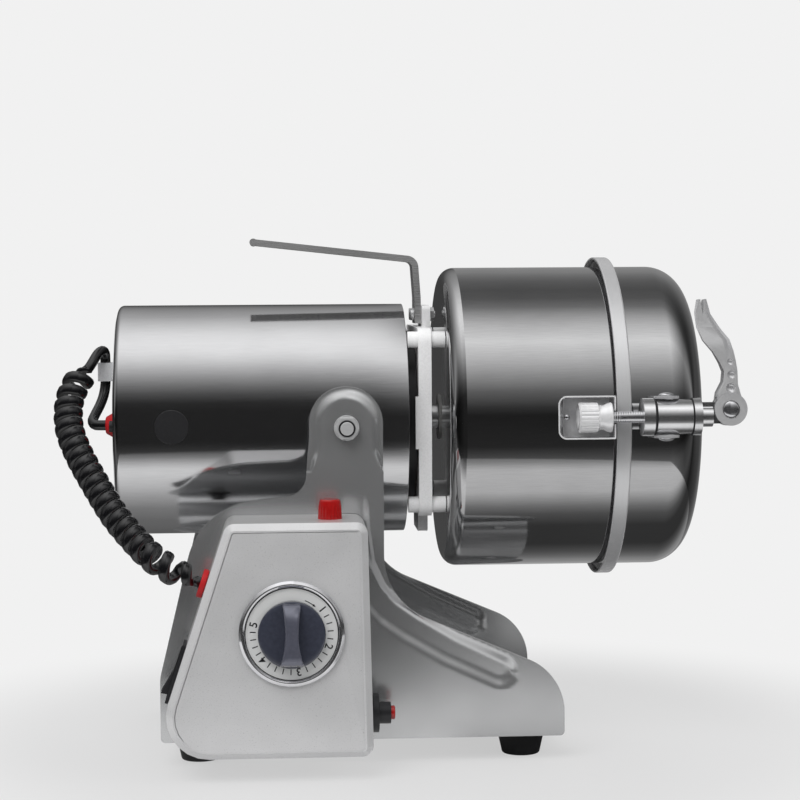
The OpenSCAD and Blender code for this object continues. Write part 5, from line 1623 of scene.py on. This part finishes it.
@dataclass
class Mill:
    """The motor's casing, the casting between motor and bowl, and the chamber."""

    rounded_pieces: tuple[Rounding, ...] = (
        ("flange_casting", "flange_cast", 0.9), ("front_bracket", "motor_nose", 0.6),
        ("cord_clip", "cord_clip_moulded", 2.4, 4), ("motor_grommet", "motor_grommet_red", 1.2),
        ("box_grommet", "box_grommet_red", 0.8), ("handle_bolts", "handle_bolt_set", 0.3, 2))
    motor_r: float = 76.0
    motor_wall: float = 1.2
    motor_rear: float = 147.0
    motor_front: float = 41.0
    bowl_r: float = 99.8
    bowl_wall: float = 1.5
    bowl_x: float = 66.0
    bowl_floor: float = 3.0
    joint_x: float = 174.0
    lid_start: float = 177.2
    lid_x: float = 229.0
    lid_corner: float = 24.0
    band_r: float = 106.3
    band_w: float = 9.5
    band_t: float = 1.5

    def build(self) -> None:
        """Turns the shells and rounds the cast pieces."""
        self._motor()
        self._bowl()
        self._lid()
        self._band()
        for row in self.rounded_pieces:
            refined_copy(*row)

    def _motor(self) -> None:
        """Turns the motor's shell with its rolled rear edge."""
        inner = self.motor_r - self.motor_wall
        shell = turned("motor_casing", rounded([
            (self.motor_r, -self.motor_rear, 4.0), (self.motor_r, self.motor_front, 0.3),
            (inner, self.motor_front, 0.3), (inner, -self.motor_rear + self.motor_wall, 2.8),
            (self.motor_r - 6.0, -self.motor_rear + self.motor_wall, 0.0),
            (self.motor_r - 6.0, -self.motor_rear, 0.3)], 8), MILL_FRAME, 144)
        dress(shell, MOTOR_STEEL, "mill", replaces=["motor_shell"])

    def _bowl(self) -> None:
        """Turns the bowl with its rounded bottom and its turned-out rim."""
        inner = self.bowl_r - self.bowl_wall
        floor_x = self.bowl_x + self.bowl_floor
        rim_r = self.band_r - 2.3
        bowl = turned("grinding_bowl_spun", rounded([
            (15.1, self.bowl_x, 0.0), (15.1, floor_x, 0.0), (inner, floor_x, 8.5),
            (inner, self.joint_x, 0.0), (rim_r, self.joint_x, 0.4), (rim_r, self.joint_x - 1.7, 0.4),
            (self.bowl_r, self.joint_x - 1.7, 0.3), (self.bowl_r, self.bowl_x, 10.0)], 12),
            MILL_FRAME, 160)
        dress(bowl, CHAMBER_STEEL, "mill", replaces=["grinding_bowl"])

    def _lid(self) -> None:
        """Turns the lid with its large rounded corner."""
        inner = self.bowl_r - self.bowl_wall
        lid = turned("lid_spun", rounded([
            (0.0, self.lid_x - self.bowl_wall, 0.0),
            (inner, self.lid_x - self.bowl_wall, self.lid_corner - self.bowl_wall),
            (inner, self.lid_start, 0.0), (self.bowl_r, self.lid_start, 0.0),
            (self.bowl_r, self.lid_x, self.lid_corner), (0.0, self.lid_x, 0.0)], 24),
            MILL_FRAME, 160)
        dress(lid, CHAMBER_STEEL, "mill", replaces=["lid_shell"])

    def _band(self) -> None:
        """Turns the raised band round the joint."""
        low = self.lid_start + 0.1
        end = self.lid_start + self.band_t + 0.3
        thin = self.band_r - self.band_t
        band = turned("lid_band_rolled", rounded([
            (self.bowl_r + 0.1, low, 0.0), (thin, low, 0.8), (thin, end - self.band_w, 0.3),
            (self.band_r, end - self.band_w, 0.6), (self.band_r, end, 1.4),
            (self.bowl_r + 0.1, end, 0.0)], 8), MILL_FRAME, 160)
        dress(band, BAND_STEEL, "mill", replaces=["lid_band"])


@dataclass
class CarryHandle:
    """The bent strap over the mill, with its rolled end."""

    thick: float = 4.2
    wide: float = 24.0
    roll_r: float = 2.5
    edge: float = 1.1
    hard_angle: float = 40.0
    bends: tuple[Point, ...] = ((51.2, 63.0, 0.0), (51.2, 80.0, 20.0), (49.4, 105.4, 6.0),
                                (-57.5, 117.4, 0.0))

    def build(self) -> None:
        """Bends the strap, rolls its end and rounds its edges."""
        line = rounded(self.bends, 14)
        body = plate("carry_strap", strip(line, self.thick), self.wide, UPRIGHT)
        x, z = line[-1]
        roll = plate("carry_roll", [(x + px, z + py) for px, py in disc(self.roll_r)], self.wide,
                     UPRIGHT)
        cut(body, roll, "UNION")
        settle(body, MILL_FRAME @ Matrix.Translation((0.0, self.wide / 2, 0.0)))
        soften(body, self.edge, 4, self.hard_angle)
        dress(body, HANDLE_STEEL, "mill", replaces=["carry_handle"])


# ---------------------------------------------------------------- quick locks


@dataclass
class QuickLock:
    """One quick lock: hood, knurled nut, threaded stud, barrel and cam lever."""

    side: str
    far: bool
    lock_r: float = 120.0
    tilt: float = 3.0
    pin_x: float = 237.5
    pin_z: float = 4.4
    half_t: float = 6.0
    hub_r: float = 10.3
    rivet_r: float = 5.2
    lever_left: tuple[Pair, ...] = (
        (-9.4, 1.0), (-8.0, 10.4), (-4.4, 17.3), (-3.8, 23.4), (-5.9, 28.8), (-9.7, 35.7),
        (-15.7, 42.8), (-19.4, 51.2), (-20.6, 60.4), (-19.2, 68.4))
    lever_ridge: tuple[Pair, ...] = (
        (-8.4, 1.2), (-7.2, 10.3), (-4.0, 16.8), (-3.4, 23.7), (-3.1, 29.6), (-2.9, 35.9),
        (-5.2, 43.2), (-10.8, 50.8), (-15.8, 59.8), (-17.3, 68.4))
    lever_right: tuple[Pair, ...] = (
        (9.4, 1.0), (6.4, 9.2), (4.7, 15.3), (4.4, 24.0), (3.4, 30.3), (2.0, 36.3), (-0.4, 43.2),
        (-6.4, 50.4), (-12.3, 59.2), (-14.8, 68.4))
    hollows: tuple[Point, ...] = ((-0.4, 29.3, 1.9), (0.5, 21.4, 2.4), (0.1, 13.2, 2.9))
    nut_x: float = 142.6
    nut_profile: tuple[Point, ...] = (
        (3.2, 3.7, 0.0), (0.9, 5.6, 0.0), (0.0, 7.4, 0.0), (0.02, 8.6, 0.0), (0.9, 9.4, 0.0),
        (1.2, 9.4, 0.55), (11.6, 9.4, 0.55), (12.0, 9.1, 0.0), (13.2, 7.7, 0.0), (15.6, 7.5, 0.0),
        (18.0, 8.8, 0.0), (20.4, 9.4, 0.0), (21.0, 9.1, 0.0), (21.02, 4.6, 0.0))
    seal_x: tuple[float, float] = (189.0, 213.2)
    seal_r: float = 11.5
    seal_t: float = 1.2
    seal_w: float = 2.2
    nut_ribs: int = 24
    nut_angle: float = 38.0
    nut_sides: int = 144
    barrel_edge: float = 0.45
    lever_edge: float = 0.55
    lever_angle: float = 28.0
    lever_outer: tuple[float, ...] = (1.4, 0.5, 0.1, 1.3)
    lever_inner: tuple[float, ...] = (1.0, 0.7, 0.4, 1.0)
    tool_long: float = 30.0
    facet_fall: float = 0.9
    facet_most: float = 5.6
    eye_w: float = 6.0
    slot_w: float = 5.7
    slot_gap: float = 1.0
    notch: tuple[Pair, ...] = ((-18.9, 72.0), (-16.9, 58.4), (-15.3, 72.0))
    hollow_wider: float = 1.12
    hollow_out: float = 0.2
    rivet_dome: float = 0.42
    thread_x0: float = 145.0
    thread_x1: float = 182.4
    thread_r: float = 3.27
    thread_proud: float = 0.05
    thread_h: float = 0.4
    thread_sides: int = 18
    thread_steps: int = 8
    pitch: float = 1.5

    def place(self) -> Matrix:
        """Gives the lock's frame, as the CAD source has it."""
        side = Matrix.Scale(-1.0 if self.far else 1.0, 4, (0.0, 1.0, 0.0))
        return (MILL_FRAME @ side @ Matrix.Rotation(math.radians(-self.tilt), 4, "X")
                @ Matrix.Translation((0.0, -self.lock_r, 0.0)))

    def build(self) -> None:
        """Models the lever, the nut and the thread, and rounds the barrel."""
        barrel = refined_copy(f"{self.side}_lock_arm", f"{self.side}_lock_barrel",
                              self.barrel_edge)
        tool = plate("cutter", disc(self.hub_r, 32), self.eye_w, UPRIGHT)
        settle(tool, self.place() @ Matrix.Translation((self.pin_x, -self.half_t - 0.5, self.pin_z)))
        outwards(tool)
        cut(barrel, tool)
        self._lever()
        self._nut()
        self._thread()
        self._seals()
        self._rivet()

    def _lever(self) -> None:
        """Models the cam lever: a ridged arm with a notched tip, three hollows and a forked hub."""
        rings, half = [], self.half_t
        for left, ridge, right in zip(self.lever_left, self.lever_ridge, self.lever_right):
            (lx, _), (rx, rz), (ex, ez) = left, ridge, right
            back = min(self.facet_most, max(0.0, (rx - lx) * self.facet_fall))
            across = (left, ridge, ((rx + ex) / 2, (rz + ez) / 2), right)
            outer = (self.lever_outer[0] + back, *self.lever_outer[1:])
            front = [Vector((x, -half + inset, z)) for (x, z), inset in zip(across, outer)]
            rear = [Vector((x, half - inset, z)) for (x, z), inset in zip(across, self.lever_inner)]
            rings.append(front + rear[::-1])
        lever = tube(f"{self.side}_cam_lever", rings)
        hub = plate("hub", disc(self.hub_r, 48), 2 * self.half_t, UPRIGHT)
        apply_place(hub)
        hub.location = (0.0, self.half_t, 0.0)
        cut(lever, hub, "UNION")
        notch = plate("notch", self.notch, self.tool_long, UPRIGHT)
        notch.location = (0.0, self.tool_long / 2, 0.0)
        cut(lever, notch)
        for x, z, radius in self.hollows:
            place = (x, -half - radius * self.hollow_out, z)
            cut(lever, ball(radius * self.hollow_wider, 32, place))
        slot = plate("slot", disc(self.hub_r + self.slot_gap, 48), self.slot_w, UPRIGHT)
        slot.location = (0.0, self.slot_w / 2, 0.0)
        cut(lever, slot)
        pin = Matrix.Translation((self.pin_x, 0.0, self.pin_z))
        settle(lever, self.place() @ pin)
        outwards(lever)
        soften(lever, self.lever_edge, 3, self.lever_angle)
        lever.visible_glossy = False
        dress(lever, CAST_CHROME, f"{self.side}_lever",
              replaces=[f"{self.side}_lock_lever"])

    def _rivet(self) -> None:
        """Domes the head of the lever's pin."""
        rivet = ball(self.rivet_r, 48, squash=(1.0, self.rivet_dome, 1.0))
        rivet.name = f"{self.side}_lever_rivet"
        place = Matrix.Translation((self.pin_x, -self.half_t + 0.1, self.pin_z))
        settle(rivet, self.place() @ place)
        close_up(rivet)
        dress(rivet, CHROME, f"{self.side}_lock")

    def _nut(self) -> None:
        """Models the knurled nut with its neck and its flared end."""
        rings = [wave_ring(x, radius, rib, self.nut_ribs, self.nut_sides)
                 for x, radius, rib in self.nut_profile]
        nut = tube(f"{self.side}_knurled_nut", rings)
        settle(nut, self.place() @ Matrix.Translation((self.nut_x, 0.0, 0.0)))
        close_up(nut, self.nut_angle)
        dress(nut, NUT_CHROME, f"{self.side}_nut",
              replaces=[f"{self.side}_lock_nut"])

    def _seals(self) -> None:
        """Adds the black rings at both ends of the barrel."""
        rings = []
        for x in self.seal_x:
            low, end = self.seal_r - self.seal_t, x + self.seal_w
            rings.append(turned("seal", rounded([(low, x, 0.0), (low, end, 0.0),
                                                 (self.seal_r, end, 0.5), (self.seal_r, x, 0.5)], 4),
                                AS_DRAWN, 64))
        seals = joined(f"{self.side}_barrel_rings", rings)
        settle(seals, self.place())
        close_up(seals)
        dress(seals, FOOT_RUBBER, f"{self.side}_lock")

    def _thread(self) -> None:
        """Winds the thread round the stud between the hood and the barrel."""
        sides, rings = self.thread_sides, []
        count = round((self.thread_x1 - self.thread_x0) / self.pitch * self.thread_steps)
        for i in range(count + 1):
            x = self.thread_x0 + (self.thread_x1 - self.thread_x0) * i / count
            ring = []
            for k in range(sides):
                turn = k / sides
                wave = abs(2 * ((x / self.pitch + turn) % 1.0) - 1.0)
                r = self.thread_r + self.thread_proud + self.thread_h * wave
                ring.append(Vector((x, r * math.cos(2 * math.pi * turn),
                                    r * math.sin(2 * math.pi * turn))))
            rings.append(ring)
        thread = tube(f"{self.side}_stud_thread", rings)
        settle(thread, self.place())  # known fault: mirrored, the far thread's faces point inwards
        dress(thread, CHROME, f"{self.side}_lock")


LOCKS = (QuickLock("near", False), QuickLock("far", True))


@dataclass
class LockSeats:
    """The hoods over the nuts, the near barrel's clevis and the rivet heads of both barrels."""

    hood_x0: float = 130.0
    hood_x1: float = 166.0
    half_w: float = 13.5
    wall: float = 1.0
    seat_y: float = 20.0
    top_y: float = 4.0
    hinge_x: float = 198.0
    lean: float = 7.0
    floor_rivet: Point = (138.2, 16.9, 0.0)
    dome_z: float = 13.1
    dome_r: float = 5.1
    dome_flat: float = 0.4
    hood_edge: float = 0.35
    hood_angle: float = 30.0
    clevis_edge: float = 0.4
    rear_corner: float = 5.5
    front_corner: float = 1.0
    hollow_front_corner: float = 0.6
    under_top: float = 0.2
    through: float = 2.0
    gate_long: float = 40.0
    floor_rivet_r: float = 1.9
    trim_half: float = 7.0
    trim_h: float = 4.0
    seat_extra: float = 4.0
    lean_w: float = 8.0
    hollow_drop: float = 7.2
    gate_half: float = 4.2
    gate_back: float = 6.0
    gate_front: float = 4.0
    gate_drop: float = 15.8

    def build(self) -> None:
        """Builds the hoods and the clevises."""
        hoods = joined("lock_hoods_pressed", [self._hood(far) for far in (False, True)])
        soften(hoods, self.hood_edge, 2, self.hood_angle)
        hoods.visible_glossy = False
        dress(hoods, HOOD_STEEL, "mill", replaces=["lock_hoods"])
        clevises = refined_copy("lock_brackets", "lock_clevises", self.clevis_edge)
        domes, half = [], self.trim_half
        square = [(-half, -half), (half, -half), (half, half), (-half, half)]
        for lock in LOCKS:
            for side in (-1, 1):
                place = lock.place() @ Matrix.Translation((self.hinge_x, 0.0, side * self.dome_z))
                # Known fault: the last of the four cuts takes the far clevis and all rivet pins away,
                # and leaves a stray face by the near clevis.
                cut(clevises, plate("cutter", square, side * self.trim_h, place))
                dome = ball(self.dome_r, 40, squash=(1.0, 1.0, self.dome_flat))
                settle(dome, place)
                domes.append(dome)
        for lock in LOCKS:
            rivet = ball(self.floor_rivet_r, 24)
            settle(rivet, lock.place() @ Matrix.Translation(self.floor_rivet))
            domes.append(rivet)
        heads = joined("clevis_rivets", domes)
        close_up(heads)
        dress(heads, CHROME, "mill")

    def _hood(self, far: bool) -> bpy.types.Object:
        """Models one hood: a thin tray, open to the front, with a turned-out front end.

        Args:
            far: Whether it is the hood on the far side.

        Returns:
            The hood, in metres.
        """
        w, t = self.half_w, self.wall
        deep = self.seat_y + self.seat_extra
        depth = deep + self.top_y - self.under_top
        place = LOCKS[far].place() @ Matrix.Translation((0.0, deep, 0.0))
        x0, x1, rear, front = self.hood_x0, self.hood_x1, self.rear_corner, self.front_corner
        hood = plate("hood", rounded([(x0, -w, rear), (x1, -w, front), (x1, w, front),
                                      (x0, w, rear)], 8), depth, UPRIGHT)
        x0, x1, w, rear, front = x0 + t, x1 - t, w - t, rear - t, self.hollow_front_corner
        hollow = plate("hollow", rounded([(x0, -w, rear), (x1, -w, front), (x1, w, front),
                                          (x0, w, rear)], 8), depth + self.through, UPRIGHT)
        hollow.location = (0.0, -self.hollow_drop, 0.0)
        cut(hood, hollow)
        leaning = self.hood_x0 + self.lean_w
        for vertex in hood.data.vertices:
            if vertex.co.x < leaning:
                lean = max(0.0, 1.0 + vertex.co.y / depth)
                vertex.co.x += self.lean * lean * (leaning - vertex.co.x) / self.lean_w
        back, front, half = self.hood_x1 - self.gate_back, self.hood_x1 + self.gate_front, self.gate_half
        gate = plate("gate", [(back, -half), (front, -half), (front, half), (back, half)],
                     self.gate_long, UPRIGHT)
        gate.location = (0.0, -self.gate_drop, 0.0)
        cut(hood, gate)
        settle(hood, place)
        outwards(hood)
        return hood


# ---------------------------------------------------------------- assembly


def dress_frame() -> None:
    """Gives every CAD node its finish."""
    for name, obj in frame["nodes"].items():
        material = NODE_FINISHES[name].material()
        for material_slot in obj.material_slots:
            material_slot.material = material


def main() -> None:
    """Builds the camera, the cord and every sub-assembly in order."""
    studio = Studio()
    studio.build_camera()
    dress_frame()
    CurlyCord().build()
    for part in (Stand(), ControlBox(), Timer(), Mill(), CarryHandle(), *LOCKS, LockSeats()):
        part.build()
        log.info("%s built", type(part).__name__)
    studio.build()


if __name__ == "__main__":
    main()
